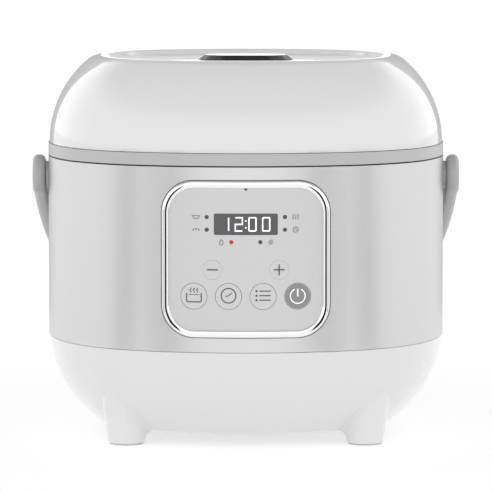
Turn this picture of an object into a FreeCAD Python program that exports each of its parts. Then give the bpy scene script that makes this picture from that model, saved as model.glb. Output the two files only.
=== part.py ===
import FreeCAD, Part
import math
import os

import Sketcher

# A small round-cornered rice cooker: a hinged dome lid, a satin metal band around a lower shell
# with four moulded feet, a lift-out pot on a heating plate, and a bail handle.
# Millimetres, +Z up, the control panel faces -Y, and the feet stand on Z = 0.

SIZES = [
    # plan of the housing: four bowed sides joined by four round corners
    ("body_width", 230.0), ("body_depth", 230.0), ("side_bow_radius", 150.0), ("corner_radius", 86.0),
    # heights
    ("underside_z", 7.0), ("band_bottom_z", 57.0), ("band_top_z", 160.7), ("seam_gap", 0.8),
    ("trim_gap", 0.3), ("ring_height", 6.8),
    # walls and common clearances
    ("shell_wall", 2.4), ("band_wall", 0.8), ("lid_wall", 2.5), ("fit_gap", 0.15), ("move_gap", 0.3),
    # lower shell
    ("side_lean", 4.7), ("lower_side_radius", 68.0), ("lower_edge_radius", 14.0), ("shell_lip", 5.0),
    ("foot_x", 68.0), ("foot_y", 70.0), ("foot_radius", 10.5), ("foot_draft", 7.7), ("foot_blend", 3.5),
    ("foot_root_z", 34.0),
    ("pad_radius", 9.4), ("pad_proud", 0.8), ("pad_set_in", 1.2),
    ("vent_length", 36.0), ("vent_width", 3.0), ("vent_pitch", 8.0),
    # lid dome and its dished top
    ("dome_inset", 0.8), ("dome_radius", 62.0), ("shoulder_angle", 50.0), ("shoulder_radius", 11.5),
    ("rim_flat", 1.5), ("rim_roll", 5.0), ("dish_roll", 4.0), ("dish_slope", 40.0), ("dish_depth", 3.3),
    ("ring_wall", 5.2), ("ring_lip_wall", 1.6), ("ring_lip", 5.0), ("lid_post_radius", 4.0),
    ("lid_post_x", 68.0), ("lid_post_y", 68.0), ("liner_wall", 2.5),
    # steam vent and lid release
    ("vent_cap_length", 55.0), ("vent_cap_depth", 34.0), ("vent_cap_height", 3.0), ("vent_cap_edge", 0.5),
    ("vent_cap_lean", 55.0),
    ("chimney_radius", 9.0), ("chimney_wall", 2.0), ("vent_plug_length", 14.0),
    ("button_length", 44.0), ("button_depth", 13.0), ("button_y", 60.0), ("button_proud", 1.0),
    ("button_stem", 9.0), ("hook_width", 14.0), ("hook_wall", 2.2), ("hook_inset", 12.0),
    ("hook_drop", 6.5), ("hook_barb", 2.2), ("hook_travel", 2.4), ("button_travel", 2.4),
    # hinge
    ("hinge_reach", 6.5), ("hinge_drop", 0.7), ("knuckle_radius", 5.8), ("hinge_pin_radius", 2.0),
    ("pin_clearance", 0.06), ("knuckle_half", 20.5), ("knuckle_split", 8.0), ("ear_width", 10.0),
    # pot and heater
    ("pot_radius", 82.0), ("pot_wall", 1.6), ("pot_bottom_z", 51.0), ("pot_corner", 14.0),
    ("flange_reach", 9.0), ("flange_drop", 1.3), ("flange_wall", 1.8),
    ("pot_clearance", 2.5), ("casing_reach", 6.0), ("casing_wall", 0.8), ("casing_bottom_z", 34.0),
    ("plate_inset", 12.0), ("plate_height", 10.0), ("plate_hole", 14.0), ("sensor_radius", 12.0),
    ("sensor_wall", 1.2), ("sensor_height", 8.5), ("sensor_travel", 2.0),
    # inner lid
    ("gasket_width", 7.0), ("gasket_height", 2.4), ("inner_lid_wall", 0.9),
    # bail handle
    ("pivot_drop", 11.7), ("handle_reach", 142.5), ("handle_stand", 9.2), ("handle_wall", 7.5),
    ("handle_height", 15.0), ("handle_arm_radius", 740.0), ("handle_corner", 45.0), ("handle_rest", 28.0),
    ("handle_end_radius", 11.5), ("handle_round", 2.5), ("pivot_radius", 4.0), ("bracket_radius", 7.8),
    ("pivot_head_radius", 6.0), ("pivot_head_height", 1.6),
    # control panel on the front of the band
    ("panel_z", 109.4), ("bezel_width", 94.7), ("bezel_height", 88.5), ("bezel_corner", 18.4),
    ("bezel_border", 4.5), ("bezel_proud", 1.8), ("bezel_depth", 4.3), ("panel_proud", 0.6),
    ("panel_wall", 1.8), ("window_width", 35.6), ("window_height", 11.9), ("window_z", 129.1),
    ("key_radius", 7.24), ("key_z", 88.7), ("key_outer_x", 29.0), ("key_inner_x", 9.65), ("key_gap", 0.22),
    ("key_proud", 0.75), ("key_travel", 0.7), ("key_flange", 0.9), ("adjust_x", 18.6), ("adjust_z", 103.6),
    ("adjust_radius", 5.4), ("adjust_gap", 0.08), ("lamp_radius", 1.15), ("lamp_side_x", 21.8),
    ("lamp_high_z", 133.1), ("lamp_low_z", 126.0), ("lamp_inner_x", 8.1), ("lamp_row_z", 119.1),
    ("board_inset", 18.0), ("board_wall", 1.6), ("carrier_wall", 2.0),
    # power inlet at the back
    ("inlet_x", 46.0), ("inlet_z", 36.0), ("inlet_width", 31.0), ("inlet_height", 25.0),
    ("inlet_inset", 9.5), ("inlet_length", 22.0), ("socket_width", 24.2), ("socket_height", 16.6),
    ("socket_depth", 16.0),
    # screws
    ("screw_radius", 1.5), ("base_screw_x", 73.0), ("base_screw_y", 36.0),
    # dew collector under the hinge
    ("dew_width", 58.0), ("dew_depth", 12.2), ("dew_height", 31.0), ("dew_drop", 44.7), ("dew_wall", 1.6),
]


class Size:
    """A length as a number, together with the sheet formula that gives it."""

    def __init__(self, value, text):
        self.value = value
        self.text = text

    def __add__(self, other):
        other = as_size(other)
        return Size(self.value + other.value, "(%s + %s)" % (self.text, other.text))

    def __sub__(self, other):
        other = as_size(other)
        return Size(self.value - other.value, "(%s - %s)" % (self.text, other.text))

    def __mul__(self, other):
        other = as_size(other)
        return Size(self.value * other.value, "(%s * %s)" % (self.text, other.text))

    def __truediv__(self, other):
        other = as_size(other)
        return Size(self.value / other.value, "(%s / %s)" % (self.text, other.text))

    def __neg__(self):
        return as_size(0) - self

    def __rsub__(self, other):
        return as_size(other) - self

    def __radd__(self, other):
        return as_size(other) + self

    def __rmul__(self, other):
        return as_size(other) * self


def as_size(number):
    """Plain numbers join a formula as they are."""
    if isinstance(number, Size):
        return number
    return Size(float(number), "(%.6f)" % number)


def root(size):
    return Size(math.sqrt(size.value), "sqrt(%s)" % size.text)


def sine(angle):
    return Size(math.sin(math.radians(angle.value)), "sin(%s * 1 deg)" % angle.text)


def cosine(angle):
    return Size(math.cos(math.radians(angle.value)), "cos(%s * 1 deg)" % angle.text)


class Dims:
    """The driving sizes, one attribute for each cell of the sheet."""

    def __init__(self, sheet):
        for row, (name, value) in enumerate(SIZES, start=1):
            sheet.set("A%d" % row, name)
            sheet.set("B%d" % row, str(value))
            sheet.setAlias("B%d" % row, name)
            setattr(self, name, Size(value, "dims." + name))


doc = FreeCAD.newDocument("rice_cooker")
sheet = doc.addObject("Spreadsheet::Sheet", "dims")
d = Dims(sheet)
doc.recompute()

half_width = d.body_width / 2
half_depth = d.body_depth / 2


# ---- sketching and feature helpers ----

def new_body(label):
    body = doc.addObject("PartDesign::Body", label)
    body.Label = label
    return body


def sketch(body, plane, offset=0):
    """A sketch on one of the body's origin planes, moved along the plane's normal."""
    role = plane + "_Plane"
    base = [feature for feature in body.Origin.OriginFeatures if feature.Role == role][0]
    made = body.newObject("Sketcher::SketchObject", body.Name + "_sketch")
    made.AttachmentSupport = [(base, "")]
    made.MapMode = "FlatFace"
    made.setExpression("AttachmentOffset.Base.z", as_size(offset).text)
    return made


def bind(made, kind, place, size):
    index = made.addConstraint(Sketcher.Constraint(kind, *place, size.value))
    made.setExpression("Constraints[%d]" % index, size.text)


def circle(made, x, y, radius):
    x, y, radius = as_size(x), as_size(y), as_size(radius)
    centre = FreeCAD.Vector(x.value, y.value, 0)
    shape = Part.Circle(centre, FreeCAD.Vector(0, 0, 1), radius.value)
    geo = made.addGeometry(shape, False)
    bind(made, "Radius", (geo,), radius)
    bind(made, "DistanceX", (geo, 3), x)
    bind(made, "DistanceY", (geo, 3), y)


def loop(made, points):
    """A closed outline. A third value is the radius of the arc to the next point, left turn positive."""
    corners = [(as_size(point[0]), as_size(point[1])) for point in points]
    bends = [as_size(point[2]) if len(point) > 2 else None for point in points]
    first = made.GeometryCount
    count = len(points)
    for i in range(count):
        start = FreeCAD.Vector(corners[i][0].value, corners[i][1].value, 0)
        end = FreeCAD.Vector(corners[(i + 1) % count][0].value, corners[(i + 1) % count][1].value, 0)
        if bends[i] is None:
            made.addGeometry(Part.LineSegment(start, end), False)
        else:
            made.addGeometry(arc_between(start, end, bends[i].value), False)
    for i in range(count):
        this_end = 2 if bends[i] is None or bends[i].value > 0 else 1
        after = (i + 1) % count
        next_start = 1 if bends[after] is None or bends[after].value > 0 else 2
        made.addConstraint(Sketcher.Constraint("Coincident", first + i, this_end, first + after, next_start))
    for i in range(count):
        start_point = 1 if bends[i] is None or bends[i].value > 0 else 2
        bind(made, "DistanceX", (first + i, start_point), corners[i][0])
        bind(made, "DistanceY", (first + i, start_point), corners[i][1])
        if bends[i] is not None:
            radius = bends[i] if bends[i].value > 0 else -bends[i]
            bind(made, "Radius", (first + i,), radius)


def arc_between(start, end, radius):
    """The short arc from start to end; a negative radius turns right."""
    turn = 1 if radius > 0 else -1
    chord = end - start
    middle = (start + end) * 0.5
    side = FreeCAD.Vector(-chord.y, chord.x, 0)
    side.normalize()
    rise = math.sqrt(max(radius * radius - chord.Length ** 2 / 4, 0.0))
    centre = middle + side * rise * turn
    first, last = (start, end) if turn > 0 else (end, start)
    from_angle = math.atan2(first.y - centre.y, first.x - centre.x)
    to_angle = math.atan2(last.y - centre.y, last.x - centre.x)
    if to_angle < from_angle:
        to_angle += 2 * math.pi
    return Part.ArcOfCircle(Part.Circle(centre, FreeCAD.Vector(0, 0, 1), abs(radius)), from_angle, to_angle)


def rectangle(made, x, y, width, height, corner=None):
    """Centred on (x, y); with a corner radius its corners are arcs."""
    x, y, width, height = as_size(x), as_size(y), as_size(width), as_size(height)
    left, right, low, high = x - width / 2, x + width / 2, y - height / 2, y + height / 2
    if corner is None:
        loop(made, [(left, low), (right, low), (right, high), (left, high)])
        return
    loop(made, [(left + corner, low), (right - corner, low, corner), (right, low + corner),
                (right, high - corner, corner), (right - corner, high), (left + corner, high, corner),
                (left, high - corner), (left, low + corner, corner)])


def pill(made, x, y, length, depth):
    """A slot shape with half-round ends, its length along the sketch's first axis."""
    x, y, length, depth = as_size(x), as_size(y), as_size(length), as_size(depth)
    end = depth / 2
    left, right = x - length / 2 + end, x + length / 2 - end
    loop(made, [(left, y - end), (right, y - end, end), (right + end, y, end),
                (right, y + end), (left, y + end, end), (left - end, y, end)])


def plan_points(inset):
    """Junctions of the housing's plan outline, moved in by inset: side arcs and corner arcs in turn."""
    bow = d.side_bow_radius
    gap = bow - d.corner_radius
    across = half_width - bow
    along = half_depth - bow
    half_gap = root(across * across + along * along) / 2
    reach = root(gap * gap - half_gap * half_gap)
    corner_x = across / 2 - along / (half_gap * 2) * reach
    corner_y = along / 2 - across / (half_gap * 2) * reach
    side_x = across + (corner_x - across) / gap * (bow - inset)
    side_y = corner_y / gap * (bow - inset)
    front_x = corner_x / gap * (bow - inset)
    front_y = along + (corner_y - along) / gap * (bow - inset)
    return side_x, side_y, front_x, front_y


def plan_outline(made, inset):
    """The plan outline, starting in the middle of the right side so that a section can be swept on it."""
    inset = as_size(inset)
    side_x, side_y, front_x, front_y = plan_points(inset)
    bow = d.side_bow_radius - inset
    corner = d.corner_radius - inset
    loop(made, [(half_width - inset, 0, bow), (side_x, side_y, corner), (front_x, front_y, bow),
                (-front_x, front_y, corner), (-side_x, side_y, bow), (-side_x, -side_y, corner),
                (-front_x, -front_y, bow), (front_x, -front_y, corner), (side_x, -side_y, bow)])


def pad(body, made, length, reverse=False):
    feature = body.newObject("PartDesign::Pad", body.Name + "_pad")
    feature.Profile = made
    feature.Reversed = reverse
    feature.setExpression("Length", as_size(length).text)
    return feature


def pocket(body, made, length, reverse=False):
    feature = body.newObject("PartDesign::Pocket", body.Name + "_pocket")
    feature.Profile = made
    feature.Reversed = reverse
    feature.setExpression("Length", as_size(length).text)
    return feature


def revolve(body, points):
    """Turns a half section, radius against height, about a vertical axis."""
    made = sketch(body, "XZ")
    loop(made, points)
    feature = body.newObject("PartDesign::Revolution", body.Name + "_turned")
    feature.Profile = made
    feature.ReferenceAxis = (made, ["V_Axis"])
    feature.Angle = 360
    return feature


def sweep_on_plan(body, points, cut=False):
    """Carries a wall section, distance from the middle against height, round the plan outline."""
    path = sketch(body, "XY")
    plan_outline(path, 0)
    section = sketch(body, "XZ")
    loop(section, points)
    doc.recompute()
    kind = "PartDesign::SubtractivePipe" if cut else "PartDesign::AdditivePipe"
    feature = body.newObject(kind, body.Name + "_wall")
    feature.Profile = section
    feature.Spine = (path, ["Edge%d" % (i + 1) for i in range(path.GeometryCount)])
    return feature


def round_edges(body, feature, radius, wanted):
    """Fillets the edges of a feature that the test picks."""
    doc.recompute()
    edges = ["Edge%d" % (i + 1) for i, edge in enumerate(feature.Shape.Edges) if wanted(edge)]
    made = body.newObject("PartDesign::Fillet", body.Name + "_round")
    made.Base = (feature, edges)
    made.setExpression("Radius", as_size(radius).text)
    return made


def box_pad(body, low, high):
    """A block between two corners."""
    made = sketch(body, "XY", low[2])
    low_x, low_y, high_x, high_y = (as_size(v) for v in (low[0], low[1], high[0], high[1]))
    loop(made, [(low_x, low_y), (high_x, low_y), (high_x, high_y), (low_x, high_y)])
    return pad(body, made, as_size(high[2]) - low[2])


def box_cut(body, low, high):
    made = sketch(body, "XY", low[2])
    low_x, low_y, high_x, high_y = (as_size(v) for v in (low[0], low[1], high[0], high[1]))
    loop(made, [(low_x, low_y), (high_x, low_y), (high_x, high_y), (low_x, high_y)])
    return pocket(body, made, as_size(high[2]) - low[2], reverse=True)


def post(body, x, y, radius, low_z, high_z):
    made = sketch(body, "XY", low_z)
    circle(made, x, y, radius)
    return pad(body, made, as_size(high_z) - low_z)


def drill(body, x, y, radius, low_z, high_z):
    made = sketch(body, "XY", low_z)
    circle(made, x, y, radius)
    return pocket(body, made, as_size(high_z) - low_z, reverse=True)


# ---- values that several pieces share ----

handle_half_width = half_width + d.handle_stand
pivot_z = d.band_top_z - d.pivot_drop
flange_radius = d.pot_radius + d.flange_reach
flange_top_z = d.band_top_z - d.flange_drop
casing_radius = d.pot_radius + d.casing_reach
plate_radius = d.pot_radius - d.plate_inset
hinge_y = half_depth + d.hinge_reach
hinge_z = d.band_top_z - d.hinge_drop
hook_y = half_depth - d.hook_inset
board_y = half_depth - d.board_inset
inlet_face_y = half_depth - d.inlet_inset
dew_bottom_z = d.band_top_z - d.dew_drop
shell_top_z = d.band_bottom_z - d.trim_gap
ring_bottom_z = d.band_top_z + d.seam_gap
ring_top_z = ring_bottom_z + d.ring_height
dome_base_z = ring_top_z + d.trim_gap
dome_outer = half_width - d.dome_inset
dome_axis = dome_outer - d.dome_radius
shoulder_sin = sine(d.shoulder_angle)
shoulder_cos = cosine(d.shoulder_angle)
shoulder_x = dome_axis + (d.dome_radius - d.shoulder_radius) * shoulder_cos
shoulder_z = dome_base_z + (d.dome_radius - d.shoulder_radius) * shoulder_sin
lid_top_z = shoulder_z + d.shoulder_radius
dish_z = lid_top_z - d.dish_depth
dish_under_z = dish_z - d.lid_wall
liner_z = ring_bottom_z + 1
liner_top_z = liner_z + d.liner_wall
frame_outer = half_width - d.band_wall - d.fit_gap
deck_wall = d.shell_wall
seat_z = flange_top_z - d.flange_wall - d.move_gap
seat_radius = flange_radius + 1.5
collar_radius = seat_radius + deck_wall
throat_radius = d.pot_radius + d.pot_clearance
floor_top_z = d.underside_z + d.shell_wall
bow_centre_y = d.side_bow_radius - half_depth
KEYS = [("cook_key", -d.key_outer_x), ("timer_key", -d.key_inner_x),
        ("menu_key", d.key_inner_x), ("power_key", d.key_outer_x)]
ADJUST_KEYS = [("minus_key", -d.adjust_x), ("plus_key", d.adjust_x)]
SIDES = [("left", -1), ("right", 1)]
CORNERS = [(-1, -1), (1, -1), (1, 1), (-1, 1)]


# ---- housing ----

def lower_shell():
    body = new_body("lower_shell")
    lean_sin, lean_cos = sine(d.side_lean), cosine(d.side_lean)
    top_x = half_width - d.trim_gap
    side_x = top_x - d.lower_side_radius * lean_cos
    side_z = shell_top_z + d.lower_side_radius * lean_sin
    edge_z = d.underside_z + d.lower_edge_radius
    reach = d.lower_side_radius - d.lower_edge_radius
    drop = side_z - edge_z
    run = root(reach * reach - drop * drop)
    edge_x = side_x + run
    inner_side = d.lower_side_radius - d.shell_wall
    inner_edge = d.lower_edge_radius - d.shell_wall
    core_x = edge_x - 4
    core_inset = half_width - core_x - 1.5
    lip_x = half_width - d.band_wall - d.fit_gap
    lip_in_x = lip_x - d.shell_wall + 0.6
    lip_z = shell_top_z + d.shell_lip
    meet_out = (side_x + run / reach * d.lower_side_radius, side_z - drop / reach * d.lower_side_radius)
    meet_in = (side_x + run / reach * inner_side, side_z - drop / reach * inner_side)
    inner_top = (side_x + inner_side * lean_cos, side_z - inner_side * lean_sin)
    # the outside as one solid block, so that the feet can be blended into it before it is hollowed
    sweep_on_plan(body, [
        (core_x, d.underside_z), (edge_x, d.underside_z, d.lower_edge_radius),
        (meet_out[0], meet_out[1], d.lower_side_radius), (top_x, shell_top_z), (core_x, shell_top_z)])
    core = sketch(body, "XY", d.underside_z)
    plan_outline(core, core_inset)
    pad(body, core, shell_top_z - d.underside_z)
    foot_bottom = d.pad_proud
    for sign_x, sign_y in CORNERS:
        made = sketch(body, "XY", foot_bottom)
        circle(made, d.foot_x * sign_x, d.foot_y * sign_y, d.foot_radius)
        foot = pad(body, made, d.foot_root_z - foot_bottom)
        foot.setExpression("TaperAngle", d.foot_draft.text)

    def at_foot(edge):
        """Where a foot's cone meets the shell, leaving out the cone's own seam and its bottom edge."""
        clear_z = foot_bottom.value + 1
        if edge.BoundBox.ZMin < clear_z or edge.BoundBox.DiagonalLength < 1:
            return False
        slope = math.tan(math.radians(d.foot_draft.value))
        for point in edge.discretize(3):
            cone_radius = d.foot_radius.value + (point.z - foot_bottom.value) * slope
            across = math.hypot(abs(point.x) - d.foot_x.value, abs(point.y) - d.foot_y.value)
            if abs(across - cone_radius) > 0.05:
                return False
        return True

    round_edges(body, foot, d.foot_blend, at_foot)
    sweep_on_plan(body, [
        (core_x, floor_top_z), (edge_x, floor_top_z, inner_edge), (meet_in[0], meet_in[1], inner_side),
        (inner_top[0], inner_top[1]), (inner_top[0], shell_top_z + 1), (core_x, shell_top_z + 1)], cut=True)
    hollow = sketch(body, "XY", floor_top_z)
    plan_outline(hollow, core_inset)
    pocket(body, hollow, shell_top_z - d.underside_z, reverse=True)
    sweep_on_plan(body, [
        (lip_in_x, shell_top_z - d.shell_wall), (lip_x, shell_top_z - d.shell_wall), (lip_x, lip_z),
        (lip_in_x, lip_z)])
    for sign_x, sign_y in CORNERS:
        drill(body, d.foot_x * sign_x, d.foot_y * sign_y, d.pad_radius + 0.1, foot_bottom - 1,
              foot_bottom + d.pad_set_in)
    vents = sketch(body, "XY", d.underside_z - 1)
    for place in range(-3, 4):
        pill(vents, 0, d.vent_pitch * place, d.vent_length, d.vent_width)
    pocket(body, vents, d.shell_wall + 2, reverse=True)
    for sign_x, sign_y in CORNERS:
        drill(body, d.base_screw_x * sign_x, d.base_screw_y * sign_y, d.screw_radius + d.fit_gap,
              d.underside_z - 1, floor_top_z + 1)
    opening = sketch(body, "XZ", -(half_depth + 5))
    rectangle(opening, d.inlet_x, d.inlet_z, d.inlet_width + 0.3, d.inlet_height + 0.3)
    pocket(body, opening, 40, reverse=True)
    return body


def foot_pads():
    body = new_body("foot_pads")
    made = sketch(body, "XY", 0)
    for sign_x, sign_y in CORNERS:
        circle(made, d.foot_x * sign_x, d.foot_y * sign_y, d.pad_radius)
    pad(body, made, d.pad_proud + d.pad_set_in)
    return body


def band_sleeve():
    body = new_body("band_sleeve")
    made = sketch(body, "XY", d.band_bottom_z)
    plan_outline(made, 0)
    plan_outline(made, d.band_wall)
    pad(body, made, d.band_top_z - d.band_bottom_z)
    window = sketch(body, "XZ", 0)
    rectangle(window, 0, d.panel_z, d.bezel_width + 0.2, d.bezel_height + 0.2, d.bezel_corner + 0.1)
    pocket(body, window, half_depth + 5, reverse=True)
    box_cut(body, (-(d.knuckle_half + d.ear_width + 0.5), half_depth - 20, d.band_top_z - 13),
            (d.knuckle_half + d.ear_width + 0.5, half_depth + 5, d.band_top_z + 1))
    holes = sketch(body, "YZ", -(half_width + 5))
    circle(holes, 0, pivot_z, d.bracket_radius + 0.05)
    pocket(body, holes, d.body_width + 10, reverse=True)
    return body


def upper_frame():
    body = new_body("upper_frame")
    skirt_z = d.band_top_z - 12.7
    made = sketch(body, "XY", skirt_z)
    plan_outline(made, half_width - frame_outer)
    pad(body, made, d.band_top_z - skirt_z)
    inside = sketch(body, "XY", skirt_z)
    plan_outline(inside, half_width - frame_outer + deck_wall)
    pocket(body, inside, d.band_top_z - skirt_z - deck_wall, reverse=True)
    post(body, 0, 0, collar_radius, skirt_z + 2, d.band_top_z)
    drill(body, 0, 0, throat_radius, skirt_z - 1, d.band_top_z + 1)
    drill(body, 0, 0, seat_radius, seat_z, d.band_top_z + 1)
    slot_back = -hook_y + d.hook_wall + d.hook_travel + 0.6
    box_cut(body, (-d.hook_width / 2 - 2, -hook_y - 4.5, skirt_z),
            (d.hook_width / 2 + 2, slot_back, d.band_top_z + 9.3))
    bezel_top = d.panel_z + d.bezel_height / 2 + d.trim_gap
    box_cut(body, (-d.bezel_width / 2 - d.trim_gap, -half_depth - 5, skirt_z - 1),
            (d.bezel_width / 2 + d.trim_gap, -collar_radius - 0.3, bezel_top))
    ear_low = d.band_top_z - 12.3
    ear_top = d.band_top_z - 0.2
    for _, sign in SIDES:
        ear = sketch(body, "YZ", d.knuckle_half + 0.4 if sign > 0 else -(d.knuckle_half + 0.4 + d.ear_width))
        loop(ear, [(half_depth - 9, ear_low), (hinge_y - 3.5, ear_low),
                   (hinge_y + d.knuckle_radius * cosine(as_size(20)),
                    hinge_z - d.knuckle_radius * sine(as_size(20)), d.knuckle_radius),
                   (hinge_y - d.knuckle_radius * cosine(as_size(10)),
                    hinge_z + d.knuckle_radius * sine(as_size(10))),
                   (half_depth + 0.4, ear_top), (half_depth - 9, ear_top)])
        pad(body, ear, d.ear_width)
    box_pad(body, (-(d.knuckle_half + 1), half_depth - 9, ear_low), (d.knuckle_half + 1, half_depth - 2, ear_top))
    bore = sketch(body, "YZ", -(d.knuckle_half + d.ear_width + 1))
    circle(bore, hinge_y, hinge_z, d.hinge_pin_radius)
    pocket(body, bore, (d.knuckle_half + d.ear_width + 1) * 2, reverse=True)
    holes = sketch(body, "YZ", -(half_width + 5))
    circle(holes, 0, pivot_z, d.bracket_radius + 0.05)
    pocket(body, holes, d.body_width + 10, reverse=True)
    return body


def inner_casing():
    body = new_body("inner_casing")
    top_z = d.band_top_z - 10.7
    outer = casing_radius + d.casing_wall
    lip = collar_radius - 0.4
    floor_z = d.casing_bottom_z + d.casing_wall
    revolve(body, [(d.sensor_radius + 6, d.casing_bottom_z), (outer, d.casing_bottom_z), (outer, top_z - 1),
                   (lip, top_z - 1), (lip, top_z - 0.1), (casing_radius, top_z - 0.1),
                   (casing_radius, floor_z), (d.sensor_radius + 6, floor_z)])
    return body


def heating_plate():
    body = new_body("heating_plate")
    top = d.pot_bottom_z - d.move_gap
    under = top - d.plate_height
    rim = plate_radius
    revolve(body, [(d.plate_hole, under + 3), (rim - 22, under + 3), (rim - 18, under), (rim - 8, under),
                   (rim, under + 5), (rim, top - 2), (rim - 2, top), (d.plate_hole, top)])
    return body


def heater_spacers():
    body = new_body("heater_spacers")
    made = sketch(body, "XY", d.casing_bottom_z + d.casing_wall)
    for turn in (90, 210, 330):
        angle = as_size(turn)
        circle(made, (plate_radius - 13) * cosine(angle), (plate_radius - 13) * sine(angle), 4)
    pad(body, made, d.pot_bottom_z - d.move_gap - d.plate_height - d.casing_bottom_z - d.casing_wall)
    return body


def sensor_cap():
    body = new_body("sensor_cap")
    top = d.pot_bottom_z - d.move_gap
    low = top - d.sensor_height
    wall = d.sensor_wall
    revolve(body, [(0, top - wall), (d.sensor_radius - wall, top - wall), (d.sensor_radius - wall, low),
                   (d.sensor_radius, low), (d.sensor_radius, top - 1, 1), (d.sensor_radius - 1, top), (0, top)])
    return body


def sensor_spring():
    body = new_body("sensor_spring")
    low = d.casing_bottom_z + 0.2
    turns = 6
    top = d.pot_bottom_z - d.move_gap - d.sensor_wall - 0.1
    outer = d.sensor_radius - d.sensor_wall - 1
    coil_sleeve(body, low, top, turns, outer, 1.1)
    return body


def coil_sleeve(body, low, high, turns, outer, wire):
    """A closed coil's envelope: a sleeve whose wall waves in and out once for each turn."""
    step = (high - low) / (turns * 2)
    outside = []
    inside = []
    for i in range(turns * 2 + 1):
        swing = wire * 0.45 if i % 2 else as_size(0)
        outside.append((outer - swing, low + step * i))
        inside.append((outer - swing - wire, low + step * i))
    revolve(body, inside[::-1] + outside)


def sensor_holder():
    body = new_body("sensor_holder")
    low = d.casing_bottom_z - 1.4
    revolve(body, [(3, low), (d.sensor_radius + 9, low), (d.sensor_radius + 9, low + 1.3), (3, low + 1.3)])
    return body


def thermal_fuse():
    body = new_body("thermal_fuse")
    made = sketch(body, "YZ", 22)
    circle(made, 24, d.casing_bottom_z - 3.4, 3.2)
    pad(body, made, 26)
    return body


def inner_pot():
    body = new_body("inner_pot")
    wall = d.pot_wall
    corner = d.pot_corner
    low = d.pot_bottom_z
    lip_low = flange_top_z - d.flange_wall
    radius = d.pot_radius
    revolve(body, [(0, low), (radius - corner, low, corner), (radius, low + corner), (radius, lip_low),
                   (flange_radius, lip_low), (flange_radius, flange_top_z - 0.8, 0.8),
                   (flange_radius - 0.8, flange_top_z), (radius - wall + 1.5, flange_top_z, 1.5),
                   (radius - wall, flange_top_z - 1.5), (radius - wall, low + corner, -(corner - wall)),
                   (radius - corner, low + wall), (0, low + wall)])
    return body


# ---- lid ----

def lid_cover():
    body = new_body("lid_cover")
    outer_x = dome_axis + d.dome_radius * shoulder_cos
    outer_z = dome_base_z + d.dome_radius * shoulder_sin
    inner_dome = d.dome_radius - d.lid_wall
    inner_shoulder = d.shoulder_radius - d.lid_wall
    slope_sin, slope_cos = sine(d.dish_slope), cosine(d.dish_slope)
    roll_x = shoulder_x - d.rim_flat
    drop = (d.rim_roll + d.dish_roll) * (1 - slope_cos)
    slope = (d.dish_depth - drop) / slope_sin
    slope_x = roll_x - d.rim_roll * slope_sin
    slope_z = lid_top_z - d.rim_roll * (1 - slope_cos)
    low_x = slope_x - slope * slope_cos
    low_z = slope_z - slope * slope_sin
    floor_x = low_x - d.dish_roll * slope_sin
    inner_x = floor_x - 8
    under_z = shoulder_z + inner_shoulder
    sweep_on_plan(body, [
        (dome_outer, dome_base_z, d.dome_radius), (outer_x, outer_z, d.shoulder_radius),
        (shoulder_x, lid_top_z), (roll_x, lid_top_z, d.rim_roll), (slope_x, slope_z),
        (low_x, low_z, -d.dish_roll), (floor_x, dish_z), (inner_x, dish_z), (inner_x, dish_under_z),
        (shoulder_x - 5, dish_under_z), (shoulder_x - 2, under_z), (shoulder_x, under_z, -inner_shoulder),
        (shoulder_x + inner_shoulder * shoulder_cos, shoulder_z + inner_shoulder * shoulder_sin, -inner_dome),
        (dome_outer - d.lid_wall, dome_base_z)])
    dish = sketch(body, "XY", dish_under_z)
    plan_outline(dish, half_width - inner_x - 1.5)
    pad(body, dish, d.lid_wall)
    for sign_x, sign_y in CORNERS:
        post(body, d.lid_post_x * sign_x, d.lid_post_y * sign_y, d.lid_post_radius, liner_top_z, dish_z - 3)
        drill(body, d.lid_post_x * sign_x, d.lid_post_y * sign_y, 1.5, liner_top_z - 1, liner_top_z + 12)
    drill(body, 0, 0, d.chimney_radius + 0.2, dish_under_z - 1, dish_z + 1)
    hole = sketch(body, "XY", dish_under_z - 1)
    pill(hole, 0, -d.button_y, d.button_length, d.button_depth)
    pocket(body, hole, d.lid_wall + 2, reverse=True)
    return body


def lid_ring():
    body = new_body("lid_ring")
    inner_x = half_width - d.ring_wall
    lip_x = dome_outer - d.lid_wall - 0.4
    lip_z = ring_top_z + d.ring_lip
    sweep_on_plan(body, [
        (inner_x, ring_bottom_z), (half_width, ring_bottom_z), (half_width, ring_top_z), (lip_x, ring_top_z),
        (lip_x, lip_z), (inner_x, lip_z)])
    arm = sketch(body, "YZ", -d.knuckle_half)
    foot_cos, foot_sin = cosine(as_size(15)), sine(as_size(15))
    arm_low = ring_bottom_z + 0.7
    loop(arm, [(half_depth - 4, arm_low),
               (hinge_y - d.knuckle_radius * foot_cos, hinge_z + d.knuckle_radius * foot_sin,
                d.knuckle_radius),
               (hinge_y, hinge_z - d.knuckle_radius, d.knuckle_radius),
               (hinge_y + d.knuckle_radius, hinge_z, d.knuckle_radius),
               (hinge_y, hinge_z + d.knuckle_radius), (half_depth - 4, ring_top_z - 0.6)])
    pad(body, arm, d.knuckle_half * 2)
    box_cut(body, (-d.knuckle_split, half_depth + 0.5, hinge_z - 12),
            (d.knuckle_split, hinge_y + 12, hinge_z + 12))
    bore = sketch(body, "YZ", -(d.knuckle_half + 1))
    circle(bore, hinge_y, hinge_z, d.hinge_pin_radius + d.pin_clearance)
    pocket(body, bore, (d.knuckle_half + 1) * 2, reverse=True)
    return body


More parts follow.
